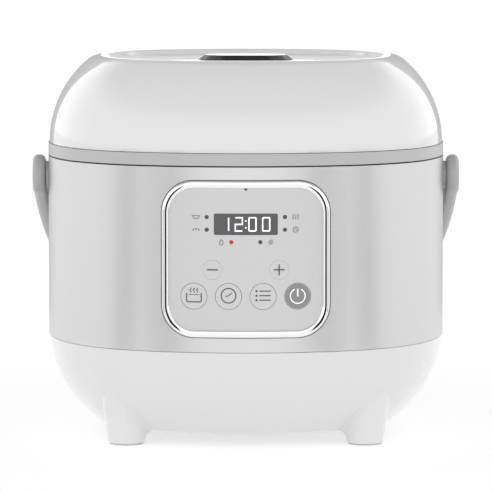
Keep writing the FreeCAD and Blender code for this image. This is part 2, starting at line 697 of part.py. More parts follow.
def lid_liner():
    body = new_body("lid_liner")
    made = sketch(body, "XY", liner_z)
    plan_outline(made, d.ring_wall + 0.2)
    pad(body, made, d.liner_wall)
    post(body, 0, 0, d.chimney_radius, liner_z, dish_z - 0.6)
    drill(body, 0, 0, d.chimney_radius - d.chimney_wall, liner_z - 1, dish_z + 1)
    box_cut(body, (-d.hook_width / 2 - 1, -hook_y - 3.2, liner_z - 1),
            (d.hook_width / 2 + 1, -hook_y + 5.5, liner_top_z + 1))
    for sign_x, sign_y in CORNERS:
        drill(body, d.lid_post_x * sign_x, d.lid_post_y * sign_y, 1.7, liner_z - 1, liner_top_z + 1)
    return body


def inner_lid_gasket():
    body = new_body("inner_lid_gasket")
    outer = flange_radius - 1.5
    inner = outer - d.gasket_width
    low = flange_top_z + d.move_gap
    high = liner_z - 0.1
    groove = low + 1.0
    revolve(body, [(inner, low), (outer, low), (outer, high), (inner, high),
                   (inner, groove + d.inner_lid_wall + 0.1),
                   (inner + 2, groove + d.inner_lid_wall + 0.1), (inner + 2, groove), (inner, groove)])
    return body


def inner_lid_plate():
    body = new_body("inner_lid_plate")
    low = flange_top_z + d.move_gap + 1.05
    post(body, 0, 0, flange_radius - 1.5 - d.gasket_width + 1.9, low, low + d.inner_lid_wall)
    holes = sketch(body, "XY", low - 1)
    circle(holes, 0, 0, 3)
    for turn in range(0, 360, 60):
        circle(holes, cosine(as_size(turn)) * 14, sine(as_size(turn)) * 14, 2)
    pocket(body, holes, 4, reverse=True)
    return body


def steam_vent_cap():
    body = new_body("steam_vent_cap")
    low = dish_z + d.trim_gap
    top = low + d.vent_cap_height
    made = sketch(body, "XY", low)
    pill(made, 0, 0, d.vent_cap_length, d.vent_cap_depth)
    pad(body, made, d.vent_cap_edge)
    upper = sketch(body, "XY", low + d.vent_cap_edge)
    pill(upper, 0, 0, d.vent_cap_length, d.vent_cap_depth)
    crown = pad(body, upper, top - low - d.vent_cap_edge)
    crown.setExpression("TaperAngle", (-d.vent_cap_lean).text)
    plug = d.chimney_radius - d.chimney_wall - d.move_gap
    post(body, 0, 0, plug, dish_z - d.vent_plug_length, low)
    drill(body, 0, 0, plug - 1.5, dish_z - d.vent_plug_length - 1, low + 1)
    slots = sketch(body, "XY", low - 1)
    for sign in (-1, 0, 1):
        pill(slots, 0, sign * 3.2, 7, 1.2)
    pocket(body, slots, d.vent_cap_height + 3, reverse=True)
    return body


def lid_release_button():
    body = new_body("lid_release_button")
    made = sketch(body, "XY", dish_under_z - 1)
    pill(made, 0, -d.button_y, d.button_length - d.move_gap * 2, d.button_depth - d.move_gap * 2)
    pad(body, made, d.lid_wall + 1 + d.button_proud)
    box_pad(body, (-d.hook_width / 2, -d.button_y - 2, dish_under_z - d.button_stem),
            (d.hook_width / 2, -d.button_y + 2, dish_under_z - 0.5))
    return body


def latch_hook():
    body = new_body("latch_hook")
    made = sketch(body, "YZ", -d.hook_width / 2)
    shank = -hook_y
    wall = d.hook_wall
    tip_z = d.band_top_z - d.hook_drop
    bend_z = liner_top_z + 10
    arm_z = dish_under_z - d.button_stem - 1 - d.button_travel
    loop(made, [(shank - d.hook_barb, tip_z), (shank + wall, tip_z), (shank + wall, bend_z),
                (-d.button_y + 4, arm_z - wall * 2), (-d.button_y + 4, arm_z), (-d.button_y - 3, arm_z),
                (shank, bend_z + wall), (shank, tip_z + 3), (shank - d.hook_barb, tip_z + 1.2)])
    pad(body, made, d.hook_width)
    return body


# ---- hinge and handle ----

def hinge_pin():
    body = new_body("hinge_pin")
    half = d.knuckle_half + d.ear_width + 0.2
    made = sketch(body, "YZ", -half)
    circle(made, hinge_y, hinge_z, d.hinge_pin_radius)
    pad(body, made, half * 2)
    return body


def hinge_spring():
    body = new_body("hinge_spring")
    turns = 7
    wire = as_size(1.3)
    half = d.knuckle_split - 0.6
    outer = d.hinge_pin_radius + 0.4 + wire * 1.5
    step = half * 2 / (turns * 2)
    made = sketch(body, "XY", hinge_z)
    outside = []
    inside = []
    for i in range(turns * 2 + 1):
        swing = wire * 0.45 if i % 2 else as_size(0)
        outside.append((-half + step * i, hinge_y + outer - swing))
        inside.append((-half + step * i, hinge_y + outer - swing - wire))
    loop(made, inside + outside[::-1])
    feature = body.newObject("PartDesign::Revolution", "hinge_spring_turned")
    axis = sketch(body, "XY", hinge_z)
    line = axis.addGeometry(Part.LineSegment(FreeCAD.Vector(-1, hinge_y.value, 0),
                                             FreeCAD.Vector(1, hinge_y.value, 0)), False)
    bind(axis, "DistanceY", (line, 1), hinge_y)
    bind(axis, "DistanceY", (line, 2), hinge_y)
    bind(axis, "DistanceX", (line, 1), as_size(-1))
    bind(axis, "DistanceX", (line, 2), as_size(1))
    feature.Profile = made
    feature.ReferenceAxis = (axis, ["Edge1"])
    feature.Angle = 360
    return body


def handle_bracket(side, sign):
    body = new_body("handle_bracket_" + side)
    face = handle_half_width - d.handle_wall - d.move_gap
    root_x = frame_outer - deck_wall - 1.5
    made = sketch(body, "YZ", root_x if sign > 0 else -face)
    circle(made, 0, pivot_z, d.bracket_radius)
    pad(body, made, face - root_x)
    tip = handle_half_width - d.pivot_head_height - d.move_gap
    stub = sketch(body, "YZ", face - 0.5 if sign > 0 else -tip)
    circle(stub, 0, pivot_z, d.pivot_radius)
    pad(body, stub, tip - face + 0.5)
    bore = sketch(body, "YZ", root_x - 1 if sign > 0 else -(tip + 1))
    circle(bore, 0, pivot_z, 1.5)
    pocket(body, bore, tip - root_x + 2, reverse=True)
    return body


def pivot_screw(side, sign):
    body = new_body("pivot_screw_" + side)
    head_in = handle_half_width - d.pivot_head_height - 0.1
    head_out = handle_half_width - 0.1
    tip = frame_outer - deck_wall + 1
    shank = sketch(body, "YZ", tip if sign > 0 else -head_in - 0.2)
    circle(shank, 0, pivot_z, 1.5)
    pad(body, shank, head_in - tip + 0.2)
    head = sketch(body, "YZ", head_in if sign > 0 else -head_out)
    circle(head, 0, pivot_z, d.pivot_head_radius - d.move_gap)
    pad(body, head, head_out - head_in)
    return body


def handle():
    body = new_body("handle")
    arm = d.handle_arm_radius
    wall = d.handle_wall
    rise = (d.handle_reach - d.handle_corner) / (arm - d.handle_corner)
    level = root(1 - rise * rise)
    centre_x = handle_half_width - arm

    def outline(inset):
        corner = d.handle_corner - inset
        corner_x = centre_x + (arm - d.handle_corner) * level
        corner_y = d.handle_reach - d.handle_corner
        knee_x = centre_x + (arm - inset) * level
        knee_y = rise * (arm - inset)
        return corner, corner_x, corner_y, knee_x, knee_y

    out_corner, corner_x, corner_y, out_x, out_y = outline(as_size(0))
    in_corner, _, _, in_x, in_y = outline(wall)
    made = sketch(body, "XY", -d.handle_height / 2)
    half = handle_half_width
    loop(made, [(half, 0, arm), (out_x, out_y, out_corner), (corner_x, corner_y + out_corner),
                (-corner_x, corner_y + out_corner, out_corner), (-out_x, out_y, arm), (-half, 0),
                (-half + wall, 0, -(arm - wall)), (-in_x, in_y, -in_corner),
                (-corner_x, corner_y + in_corner), (corner_x, corner_y + in_corner, -in_corner),
                (in_x, in_y, -(arm - wall)), (half - wall, 0)])
    strap = pad(body, made, d.handle_height)
    round_edges(body, strap, d.handle_round, lambda edge: edge.BoundBox.ZLength < 0.001
                and edge.BoundBox.YMax > 1)
    for _, sign in SIDES:
        end = sketch(body, "YZ", half - wall if sign > 0 else -half)
        circle(end, 0, 0, d.handle_end_radius)
        pad(body, end, wall)
        bore = sketch(body, "YZ", half - wall - 1 if sign > 0 else -half - 1)
        circle(bore, 0, 0, d.pivot_radius + d.pin_clearance)
        pocket(body, bore, wall + 2, reverse=True)
        sink_x = half - d.pivot_head_height - 0.4
        sink = sketch(body, "YZ", sink_x if sign > 0 else -half - 1)
        circle(sink, 0, 0, d.pivot_head_radius)
        pocket(body, sink, d.pivot_head_height + 1.4, reverse=True)
    body.setExpression("Placement.Base.z", pivot_z.text)
    body.setExpression("Placement.Rotation.Angle", "-%s * 1 deg" % d.handle_rest.text)
    body.Placement.Rotation = FreeCAD.Rotation(FreeCAD.Vector(1, 0, 0), -d.handle_rest.value)
    return body


# ---- control panel, which follows the bow of the band's front ----

def front_block(body, x, z, width, height, corner, front, back):
    """A rounded block whose face and back stand at two distances in front of the middle."""
    made = sketch(body, "XZ", back)
    rectangle(made, x, z, width, height, corner)
    return pad(body, made, as_size(front) - back)


def front_post(body, x, z, radius, front, back):
    made = sketch(body, "XZ", back)
    circle(made, x, z, radius)
    return pad(body, made, as_size(front) - back)


def front_hole(body, draw):
    """Cuts what draw puts in a sketch right through from the front."""
    made = sketch(body, "XZ", board_y - 20)
    draw(made)
    return pocket(body, made, 60, reverse=True)


def bow_to(body, proud):
    """Takes away what stands further out than the band's bowed front plus proud."""
    made = sketch(body, "XY", 0)
    rectangle(made, 0, bow_centre_y, d.side_bow_radius * 2 + 60, d.side_bow_radius * 2 + 60)
    circle(made, 0, bow_centre_y, d.side_bow_radius + proud)
    return pocket(body, made, d.band_top_z + 20, reverse=True)


def bow_behind(body, depth):
    """Takes away what lies further in than depth behind the band's bowed front."""
    made = sketch(body, "XY", 0)
    circle(made, 0, bow_centre_y, d.side_bow_radius - depth)
    return pocket(body, made, d.band_top_z + 20, reverse=True)


inner_panel_width = d.bezel_width - d.bezel_border * 2
inner_panel_height = d.bezel_height - d.bezel_border * 2
inner_panel_corner = d.bezel_corner - d.bezel_border
LAMPS = [(-d.lamp_side_x, d.lamp_high_z), (-d.lamp_side_x, d.lamp_low_z), (d.lamp_side_x, d.lamp_high_z),
         (d.lamp_side_x, d.lamp_low_z), (d.lamp_inner_x, d.lamp_row_z)]
RED_LAMP = (-d.lamp_inner_x, d.lamp_row_z)
panel_front = half_depth + 8
key_back = half_depth - 7.8


def chrome_bezel():
    body = new_body("chrome_bezel")
    front_block(body, 0, d.panel_z, d.bezel_width, d.bezel_height, d.bezel_corner, panel_front, half_depth - 20)
    front_hole(body, lambda made: rectangle(made, 0, d.panel_z, inner_panel_width, inner_panel_height,
                                            inner_panel_corner))
    bow_to(body, d.bezel_proud)
    bow_behind(body, d.bezel_depth - d.bezel_proud)
    return body


def control_panel():
    body = new_body("control_panel")
    front_block(body, 0, d.panel_z, inner_panel_width - 0.1, inner_panel_height - 0.1,
                inner_panel_corner - 0.05, panel_front, half_depth - 20)

    def openings(made):
        rectangle(made, 0, d.window_z, d.window_width + 0.1, d.window_height + 0.1, 1.0)
        for x, z in LAMPS + [RED_LAMP]:
            circle(made, x, z, d.lamp_radius + 0.05)
        for _, x in KEYS:
            circle(made, x, d.key_z, d.key_radius + d.key_gap)
        for _, x in ADJUST_KEYS:
            circle(made, x, d.adjust_z, d.adjust_radius + d.adjust_gap)

    front_hole(body, openings)
    bow_to(body, d.panel_proud)
    bow_behind(body, d.panel_wall - d.panel_proud)
    return body


def display_window():
    body = new_body("display_window")
    front_block(body, 0, d.window_z, d.window_width, d.window_height, as_size(0.95), panel_front, half_depth - 20)
    bow_to(body, d.panel_proud - 0.1)
    bow_behind(body, d.panel_wall - d.panel_proud)
    return body


def display_module():
    body = new_body("display_module")
    face = half_depth - d.panel_wall - 2.2
    front_block(body, 0, d.window_z, d.window_width - 1, d.window_height - 0.6, None, face,
                board_y + d.board_wall)
    return body


def indicator_lenses():
    body = new_body("indicator_lenses")
    for x, z in LAMPS:
        front_post(body, x, z, d.lamp_radius, panel_front, half_depth - 8)
    bow_to(body, d.panel_proud)
    return body


def indicator_lens_red():
    body = new_body("indicator_lens_red")
    front_post(body, RED_LAMP[0], RED_LAMP[1], d.lamp_radius, panel_front, half_depth - 8)
    bow_to(body, d.panel_proud)
    return body


def key_cap(name, x, z, radius, proud):
    body = new_body(name)
    front_post(body, x, z, radius, panel_front, key_back)
    bow_to(body, proud)
    front_post(body, x, z, radius + 0.8, key_back + d.key_flange, key_back)
    return body


def panel_carrier():
    body = new_body("panel_carrier")
    wide = inner_panel_width + 2
    high = inner_panel_height + 2
    wall = d.carrier_wall
    front_block(body, 0, d.panel_z, wide, high, None, panel_front, board_y - 1.5)
    bow_to(body, d.panel_proud - d.panel_wall - 1.6)
    opening = sketch(body, "XZ", board_y - 3)
    rectangle(opening, 0, d.panel_z, wide - wall * 2, high - wall * 2)
    pocket(body, opening, 60, reverse=True)
    for sign_x, sign_z in CORNERS:
        front_post(body, sign_x * (wide / 2 - wall - 2.6), d.panel_z + sign_z * (high / 2 - wall - 2.6), 3,
                   board_y + d.board_wall + 6, board_y + d.board_wall)
    for sign_x, sign_z in CORNERS:
        made = sketch(body, "XZ", board_y)
        circle(made, sign_x * (wide / 2 - wall - 2.6), d.panel_z + sign_z * (high / 2 - wall - 2.6), 1.2)
        pocket(body, made, 9, reverse=True)
    return body


def control_board():
    body = new_body("control_board")
    wide = inner_panel_width + 2 - d.carrier_wall * 2 - 0.6
    high = inner_panel_height + 2 - d.carrier_wall * 2 - 0.6
    front_block(body, 0, d.panel_z, wide, high, None, board_y + d.board_wall, board_y)
    holes = sketch(body, "XZ", board_y - 1)
    for sign_x, sign_z in CORNERS:
        circle(holes, sign_x * (wide / 2 - 2.3), d.panel_z + sign_z * (high / 2 - 2.3), 1.4)
    pocket(body, holes, 5, reverse=True)
    return body


def board_screws():
    body = new_body("board_screws")
    wide = inner_panel_width + 2 - d.carrier_wall * 2 - 0.6
    high = inner_panel_height + 2 - d.carrier_wall * 2 - 0.6
    for sign_x, sign_z in CORNERS:
        x = sign_x * (wide / 2 - 2.3)
        z = d.panel_z + sign_z * (high / 2 - 2.3)
        front_post(body, x, z, 1.15, board_y + d.board_wall + 5, board_y - 0.3)
        front_post(body, x, z, 2.4, board_y - 0.1, board_y - 1.6)
    return body


def tact_switches():
    body = new_body("tact_switches")
    base = board_y + d.board_wall
    tip = key_back - d.key_travel - d.fit_gap
    for x, z in [(x, d.key_z) for _, x in KEYS] + [(x, d.adjust_z) for _, x in ADJUST_KEYS]:
        front_block(body, x, z, 6, 6, None, base + 4, base)
        front_post(body, x, z, 1.7, tip, base + 3.5)
    return body


# ---- electrics ----

def power_inlet():
    body = new_body("power_inlet")
    face = -inlet_face_y
    front_block(body, d.inlet_x, d.inlet_z, d.inlet_width, d.inlet_height, as_size(3), face + d.inlet_length, face)
    socket = sketch(body, "XZ", face - 1)
    rectangle(socket, d.inlet_x, d.inlet_z, d.socket_width, d.socket_height, as_size(2.5))
    pocket(body, socket, d.socket_depth + 1, reverse=True)
    return body


def inlet_pins():
    body = new_body("inlet_pins")
    floor = -inlet_face_y + d.socket_depth
    for x, z in [(-7, -1.5), (7, -1.5), (0, 2.5)]:
        front_block(body, d.inlet_x + x, d.inlet_z + z, 2, 4, None, floor + 9, floor - 12)
    return body


def power_board():
    body = new_body("power_board")
    low = floor_top_z + 4
    front = -30
    box_pad(body, (-40, front - 36, low), (40, front + 22, low + d.board_wall))
    top = low + d.board_wall
    box_pad(body, (-30, front - 24, top - 0.1), (-8, front - 2, top + 14))
    box_pad(body, (6, front - 22, top - 0.1), (22, front - 8, top + 11))
    post(body, 31, front - 26, 5, top - 0.1, top + 12)
    for sign_x in (-1, 1):
        for y in (front - 32, front + 18):
            post(body, sign_x * 36, y, 2.4, floor_top_z, low)
    return body


def base_screws():
    body = new_body("base_screws")
    for sign_x, sign_y in CORNERS:
        x, y = d.base_screw_x * sign_x, d.base_screw_y * sign_y
        post(body, x, y, d.screw_radius, d.underside_z - 0.5, floor_top_z + 6)
        post(body, x, y, d.screw_radius * 2, d.underside_z - 1.6, d.underside_z)
    return body


def lid_screws():
    body = new_body("lid_screws")
    for sign_x, sign_y in CORNERS:
        x, y = d.lid_post_x * sign_x, d.lid_post_y * sign_y
        post(body, x, y, 1.5, liner_z - 0.1, liner_top_z + 9)
        post(body, x, y, 3, liner_z - 0.9, liner_z)
    return body


def heater_screws():
    body = new_body("heater_screws")
    for turn in (90, 210, 330):
        angle = as_size(turn)
        post(body, (plate_radius - 13) * cosine(angle), (plate_radius - 13) * sine(angle), 3.2,
             d.casing_bottom_z - 2.2, d.casing_bottom_z)
    return body


def dew_collector():
    body = new_body("dew_collector")
    wall = d.dew_wall
    inner_y = half_depth + d.move_gap + 0.1
    made = sketch(body, "XY", dew_bottom_z)
    rectangle(made, 0, inner_y + d.dew_depth / 2, d.dew_width, d.dew_depth, as_size(3))
    pad(body, made, d.dew_height)
    hollow = sketch(body, "XY", dew_bottom_z + wall)
    rectangle(hollow, 0, inner_y + d.dew_depth / 2, d.dew_width - wall * 2, d.dew_depth - wall * 2, as_size(1.5))
    pocket(body, hollow, d.dew_height, reverse=True)
    return body


def build_all():
    lower_shell()
    foot_pads()
    band_sleeve()
    upper_frame()
    inner_casing()
    heating_plate()
    heater_spacers()
    sensor_holder()
    sensor_cap()
    sensor_spring()
    thermal_fuse()
    inner_pot()
    lid_cover()
    lid_ring()
    lid_liner()
    inner_lid_gasket()
    inner_lid_plate()
    steam_vent_cap()
    lid_release_button()
    latch_hook()
    hinge_pin()
    hinge_spring()
    handle()
    for side, sign in SIDES:
        handle_bracket(side, sign)
        pivot_screw(side, sign)
    chrome_bezel()
    control_panel()
    display_window()
    display_module()
    indicator_lenses()
    indicator_lens_red()
    panel_carrier()
    control_board()
    board_screws()
    tact_switches()
    for name, x in KEYS:
        key_cap(name, x, d.key_z, d.key_radius, d.key_proud)
    for name, x in ADJUST_KEYS:
        key_cap(name, x, d.adjust_z, d.adjust_radius, d.panel_proud)
    power_inlet()
    inlet_pins()
    power_board()
    base_screws()
    lid_screws()
    heater_screws()
    dew_collector()
    doc.recompute()
    return [item for item in doc.Objects if item.TypeId == "PartDesign::Body"]


def centre_on_origin(bodies):
    """Puts the middle of the whole object's box over the origin, front to back."""
    boxes = [body.Shape.optimalBoundingBox(False, False) for body in bodies]
    back = max(box.YMax for box in boxes)
    front = min(box.YMin for box in boxes)
    cell = "B%d" % (len(SIZES) + 1)
    sheet.set("A%d" % (len(SIZES) + 1), "origin_shift")
    sheet.set(cell, "%.4f" % (-(back + front) / 2))
    sheet.setAlias(cell, "origin_shift")
    doc.recompute()
    print("origin shift", sheet.get("origin_shift"))
    for body in bodies:
        body.setExpression("Placement.Base.y", "dims.origin_shift")
    doc.recompute()


def check(bodies):
    for item in doc.Objects:
        for word in ("Invalid", "Error"):
            if word in item.State:
                raise RuntimeError("%s is %s" % (item.Label, word))
    for body in bodies:
        if body.Shape.isNull() or not body.Shape.isValid() or body.Shape.Volume <= 0:
            raise RuntimeError("%s has no sound shape" % body.Label)


def write_parts(bodies):
    os.makedirs("parts", exist_ok=True)
    for body in bodies:
        body.Shape.exportStep("parts/%s.step" % body.Label)
        box = body.Shape.optimalBoundingBox(False, False)
        print("%-20s %d solids %10.1f mm3  X %.1f..%.1f  Y %.1f..%.1f  Z %.1f..%.1f" % (
            body.Label, len(body.Shape.Solids), body.Shape.Volume,
            box.XMin, box.XMax, box.YMin, box.YMax, box.ZMin, box.ZMax))


pieces = build_all()
centre_on_origin(pieces)
check(pieces)
write_parts(pieces)
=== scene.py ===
import math

import bmesh
import bpy
import numpy as np
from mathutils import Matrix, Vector


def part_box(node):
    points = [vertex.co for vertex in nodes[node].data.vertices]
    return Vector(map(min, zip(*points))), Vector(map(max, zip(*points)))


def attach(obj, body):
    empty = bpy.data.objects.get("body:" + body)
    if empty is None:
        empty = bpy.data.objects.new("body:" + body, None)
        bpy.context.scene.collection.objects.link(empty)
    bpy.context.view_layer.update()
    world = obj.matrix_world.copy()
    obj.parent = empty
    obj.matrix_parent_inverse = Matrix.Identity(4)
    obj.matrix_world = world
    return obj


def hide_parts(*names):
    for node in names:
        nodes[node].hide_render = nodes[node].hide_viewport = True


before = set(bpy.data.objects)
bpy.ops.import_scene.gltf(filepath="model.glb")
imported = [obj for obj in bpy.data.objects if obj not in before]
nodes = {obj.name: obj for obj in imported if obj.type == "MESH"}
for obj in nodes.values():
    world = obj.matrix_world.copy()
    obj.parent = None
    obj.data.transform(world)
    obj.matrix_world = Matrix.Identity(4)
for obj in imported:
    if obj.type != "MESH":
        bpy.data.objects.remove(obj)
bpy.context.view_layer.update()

# A rice cooker on a pale floor. Metres, +Z up, the control panel faces -Y.
mm = 0.001
bandLow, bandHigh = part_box("band_sleeve")
middleY = (bandLow.y + bandHigh.y) / 2
halfWidth = bandHigh.x


# Finishes: every one is made of nodes on object coordinates.

def startMaterial(name):
    material = bpy.data.materials.new(name)
    material.use_nodes = True
    tree = material.node_tree
    place = tree.nodes.new("ShaderNodeTexCoord").outputs["Object"]
    return material, tree, tree.nodes["Principled BSDF"], place


def noise(tree, place, scale, detail=3.0, rough=0.5, stretch=None):
    if stretch:
        mapping = tree.nodes.new("ShaderNodeMapping")
        mapping.inputs["Scale"].default_value = stretch
        tree.links.new(place, mapping.inputs["Vector"])
        place = mapping.outputs["Vector"]
    texture = tree.nodes.new("ShaderNodeTexNoise")
    texture.inputs["Scale"].default_value = scale
    texture.inputs["Detail"].default_value = detail
    texture.inputs["Roughness"].default_value = rough
    tree.links.new(place, texture.inputs["Vector"])
    return texture.outputs["Fac"]


def spread(tree, value, low, high):
    node = tree.nodes.new("ShaderNodeMapRange")
    node.inputs["To Min"].default_value = low
    node.inputs["To Max"].default_value = high
    tree.links.new(value, node.inputs["Value"])
    return node.outputs["Result"]


def tint(tree, value, dark, light):
    node = tree.nodes.new("ShaderNodeMix")
    node.data_type = "RGBA"
    colours = [socket for socket in node.inputs if socket.type == "RGBA"]
    colours[0].default_value = (*dark, 1)
    colours[1].default_value = (*light, 1)
    tree.links.new(value, node.inputs["Factor"])
    return [socket for socket in node.outputs if socket.type == "RGBA"][0]


def bump(tree, shader, value, height, strength=1.0):
    node = tree.nodes.new("ShaderNodeBump")
    node.inputs["Distance"].default_value = height
    node.inputs["Strength"].default_value = strength
    tree.links.new(value, node.inputs["Height"])
    tree.links.new(node.outputs["Normal"], shader.inputs["Normal"])


def plastic(name, colour, rough, grain=0.00002, grainScale=900, shift=0.03, coat=0.0, roughShift=0.05,
            glow=0.0):
    # moulded plastic: a faint cloud in the colour, an uneven gloss and a fine moulded grain
    material, tree, shader, place = startMaterial(name)
    dark = [channel * (1 - shift) for channel in colour]
    light = [min(channel * (1 + shift), 1.0) for channel in colour]
    tree.links.new(tint(tree, noise(tree, place, 14), dark, light), shader.inputs["Base Color"])
    tree.links.new(spread(tree, noise(tree, place, 60), rough - roughShift, rough + roughShift),
                   shader.inputs["Roughness"])
    shader.inputs["Coat Weight"].default_value = coat
    shader.inputs["Coat Roughness"].default_value = 0.03
    if glow:
        shader.inputs["Emission Color"].default_value = (*colour, 1)
        shader.inputs["Emission Strength"].default_value = glow
    bump(tree, shader, noise(tree, place, grainScale), grain)
    return material


def metal(name, colour, rough, stretch=(1, 1, 1), grainScale=400, grain=0.00002, roughShift=0.06):
    # bare or plated metal: the stretch turns the grain into a brushed finish
    material, tree, shader, place = startMaterial(name)
    shader.inputs["Metallic"].default_value = 1.0
    grains = noise(tree, place, grainScale, stretch=stretch)
    dark = [channel * 0.96 for channel in colour]
    tree.links.new(tint(tree, grains, dark, colour), shader.inputs["Base Color"])
    tree.links.new(spread(tree, grains, rough - roughShift, rough + roughShift), shader.inputs["Roughness"])
    bump(tree, shader, grains, grain)
    return material


finishes = {
    "shell_white": plastic("glossWhite", (0.80, 0.80, 0.80), 0.12, 0.00001, 250, 0.01, 1.0, 0.02),
    "trim_grey": plastic("satinTrimGrey", (0.53, 0.53, 0.535), 0.35),
    "band_metal": metal("satinBand", (0.67, 0.67, 0.675), 0.34, (1, 1, 60), 30, 0.000004),
    "handle_grey": plastic("handleGrey", (0.46, 0.46, 0.465), 0.3),
    "panel_grey": plastic("panelGrey", (0.67, 0.67, 0.675), 0.3),
    "bezel_chrome": metal("chromePlate", (0.92, 0.92, 0.93), 0.04, roughShift=0.01, grain=0.000001),
    "display_dark": plastic("smokedWindow", (0.1, 0.1, 0.105), 0.12),
    "vent_black": plastic("glossBlack", (0.01, 0.01, 0.01), 0.1, coat=0.5),
    "inner_white": plastic("innerWhite", (0.75, 0.75, 0.74), 0.35),
    "rubber_dark": plastic("footRubber", (0.55, 0.55, 0.55), 0.7),
    "gasket_silicone": plastic("silicone", (0.6, 0.62, 0.64), 0.4),
    "steel_parts": metal("bareSteel", (0.6, 0.6, 0.6), 0.3),
    "aluminium_cast": metal("castAluminium", (0.7, 0.7, 0.71), 0.45),
    "pot_coating": plastic("potCoating", (0.05, 0.05, 0.052), 0.35),
    "board_green": plastic("boardGreen", (0.02, 0.12, 0.04), 0.4),
    "lens_clear": plastic("lampLens", (0.08, 0.08, 0.085), 0.15),
    "lens_red": plastic("lampRed", (0.7, 0.02, 0.03), 0.15),
    "black_plastic": plastic("blackPlastic", (0.02, 0.02, 0.02), 0.4),
    "dew_clear": plastic("dewPlastic", (0.75, 0.77, 0.78), 0.25),
}
inks = {"grey": plastic("inkGrey", (0.09, 0.09, 0.095), 0.4),
        "mid": plastic("inkMidGrey", (0.2, 0.2, 0.205), 0.4),
        "disc": plastic("keyDiscGrey", (0.28, 0.28, 0.285), 0.35),
        # the white print glows a little, painted brightness, though it is no lamp
        "white": plastic("inkWhitePaintedGlow", (0.9, 0.9, 0.9), 0.4, glow=0.25),
        "lit": plastic("litDigits", (0.85, 0.88, 0.9), 0.4, glow=0.55)}
# a brighter white with a glow of its own for the dish floor: painted light in place of its bright reflection
dishPaintedGlow = plastic("dishPaintedGlow", (0.93, 0.93, 0.93), 0.1, 0.000004, 250, 0.01, 1.0, 0.02, glow=0.3)
for node in nodes.values():
    for place in node.material_slots:
        place.material = finishes[place.material.name]
print("finishes set")

housing = {"sideBow": 150 * mm, "cornerRadius": 86 * mm, "softenTurn": 5.0}


# Surfaces as grids of points.

def gridFaces(rows, columns, closeRows=False, closeColumns=True):
    # quads of a grid of points numbered row by row; a closed direction joins its last line to its first
    down = np.arange(rows if closeRows else rows - 1)[:, None]
    across = np.arange(columns if closeColumns else columns - 1)[None, :]
    nextDown, nextAcross = (down + 1) % rows, (across + 1) % columns
    corners = [down * columns + across, down * columns + nextAcross,
               nextDown * columns + nextAcross, nextDown * columns + across]
    return np.stack([corner.ravel() for corner in corners], axis=1)


def facingOut(points, faces):
    # a closed surface whose enclosed volume comes out negative is turned round
    a, b, c, d = (points[faces[:, index]] - points.mean(axis=0) for index in range(4))
    volume = (np.cross(a, b) * c).sum() + (np.cross(a, c) * d).sum()
    return points, faces if volume > 0 else faces[:, ::-1]


def gridMesh(points, closeRows=False, closeColumns=True):
    # points is rows x columns x 3
    rows, columns = points.shape[:2]
    return facingOut(points.reshape(-1, 3), gridFaces(rows, columns, closeRows, closeColumns))


def joined(meshes):
    # several (points, faces) as one
    points, faces, start = [], [], 0
    for some, quads in meshes:
        points.append(some)
        faces.append(quads + start)
        start += len(some)
    return np.concatenate(points), np.concatenate(faces)


# an edge that turns by more than this many degrees stays crisp
sharpTurn = 35


def makePiece(name, mesh, finish=None, body=None, replaces=(), sharp=sharpTurn):
    points, faces = mesh
    data = bpy.data.meshes.new(name)
    data.from_pydata(points.tolist(), [], faces.tolist())
    made = bpy.data.objects.new(name, data)
    bpy.context.scene.collection.objects.link(made)
    closeSeams(data)
    data.shade_smooth()
    data.set_sharp_from_angle(angle=math.radians(sharp))
    if finish:
        data.materials.append(finish)
    if body:
        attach(made, body)
    if replaces:
        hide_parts(*replaces)
    return made


def closeSeams(data):
    # merges points that coincide, at poles and seams, and drops the faces that this flattens
    work = bmesh.new()
    work.from_mesh(data)
    bmesh.ops.remove_doubles(work, verts=work.verts, dist=1e-6)
    bmesh.ops.dissolve_degenerate(work, edges=work.edges, dist=1e-7)
    work.to_mesh(data)
    work.free()


def cutAway(piece, cutters):
    # takes closed cutter meshes out of a piece
    tool = makePiece(piece.name + ".cutter", joined(cutters))
    modifier = piece.modifiers.new("cut", "BOOLEAN")
    modifier.operation = "DIFFERENCE"
    modifier.object = tool
    modifier.solver = "EXACT"
    bpy.context.view_layer.update()
    cut = bpy.data.meshes.new_from_object(piece.evaluated_get(bpy.context.evaluated_depsgraph_get()))
    piece.modifiers.clear()
    piece.data = cut
    bpy.data.objects.remove(tool)
    cut.set_sharp_from_angle(angle=math.radians(sharpTurn))
    return piece


def prism(outlineXY, low, high):
    # a closed column on a plan outline: both ends drawn in to their middle point
    middle = outlineXY.mean(axis=0, keepdims=True) + outlineXY * 0
    rings = [(middle, low), (outlineXY, low), (outlineXY, high), (middle, high)]
    points = np.stack([np.column_stack([ring, np.full(len(ring), height)]) for ring, height in rings])
    return gridMesh(points)


def pillOutline(x, y, length, width, count=64):
    # a round-ended slot: a circle whose two halves are pulled apart along X
    turn = np.linspace(0, 2 * np.pi, count, endpoint=False) + 0.01
    pull = np.sign(np.cos(turn)) * (length - width) / 2
    return np.column_stack([x + pull + width / 2 * np.cos(turn), y + width / 2 * np.sin(turn)])


# The housing's plan outline and the profiles carried round it.

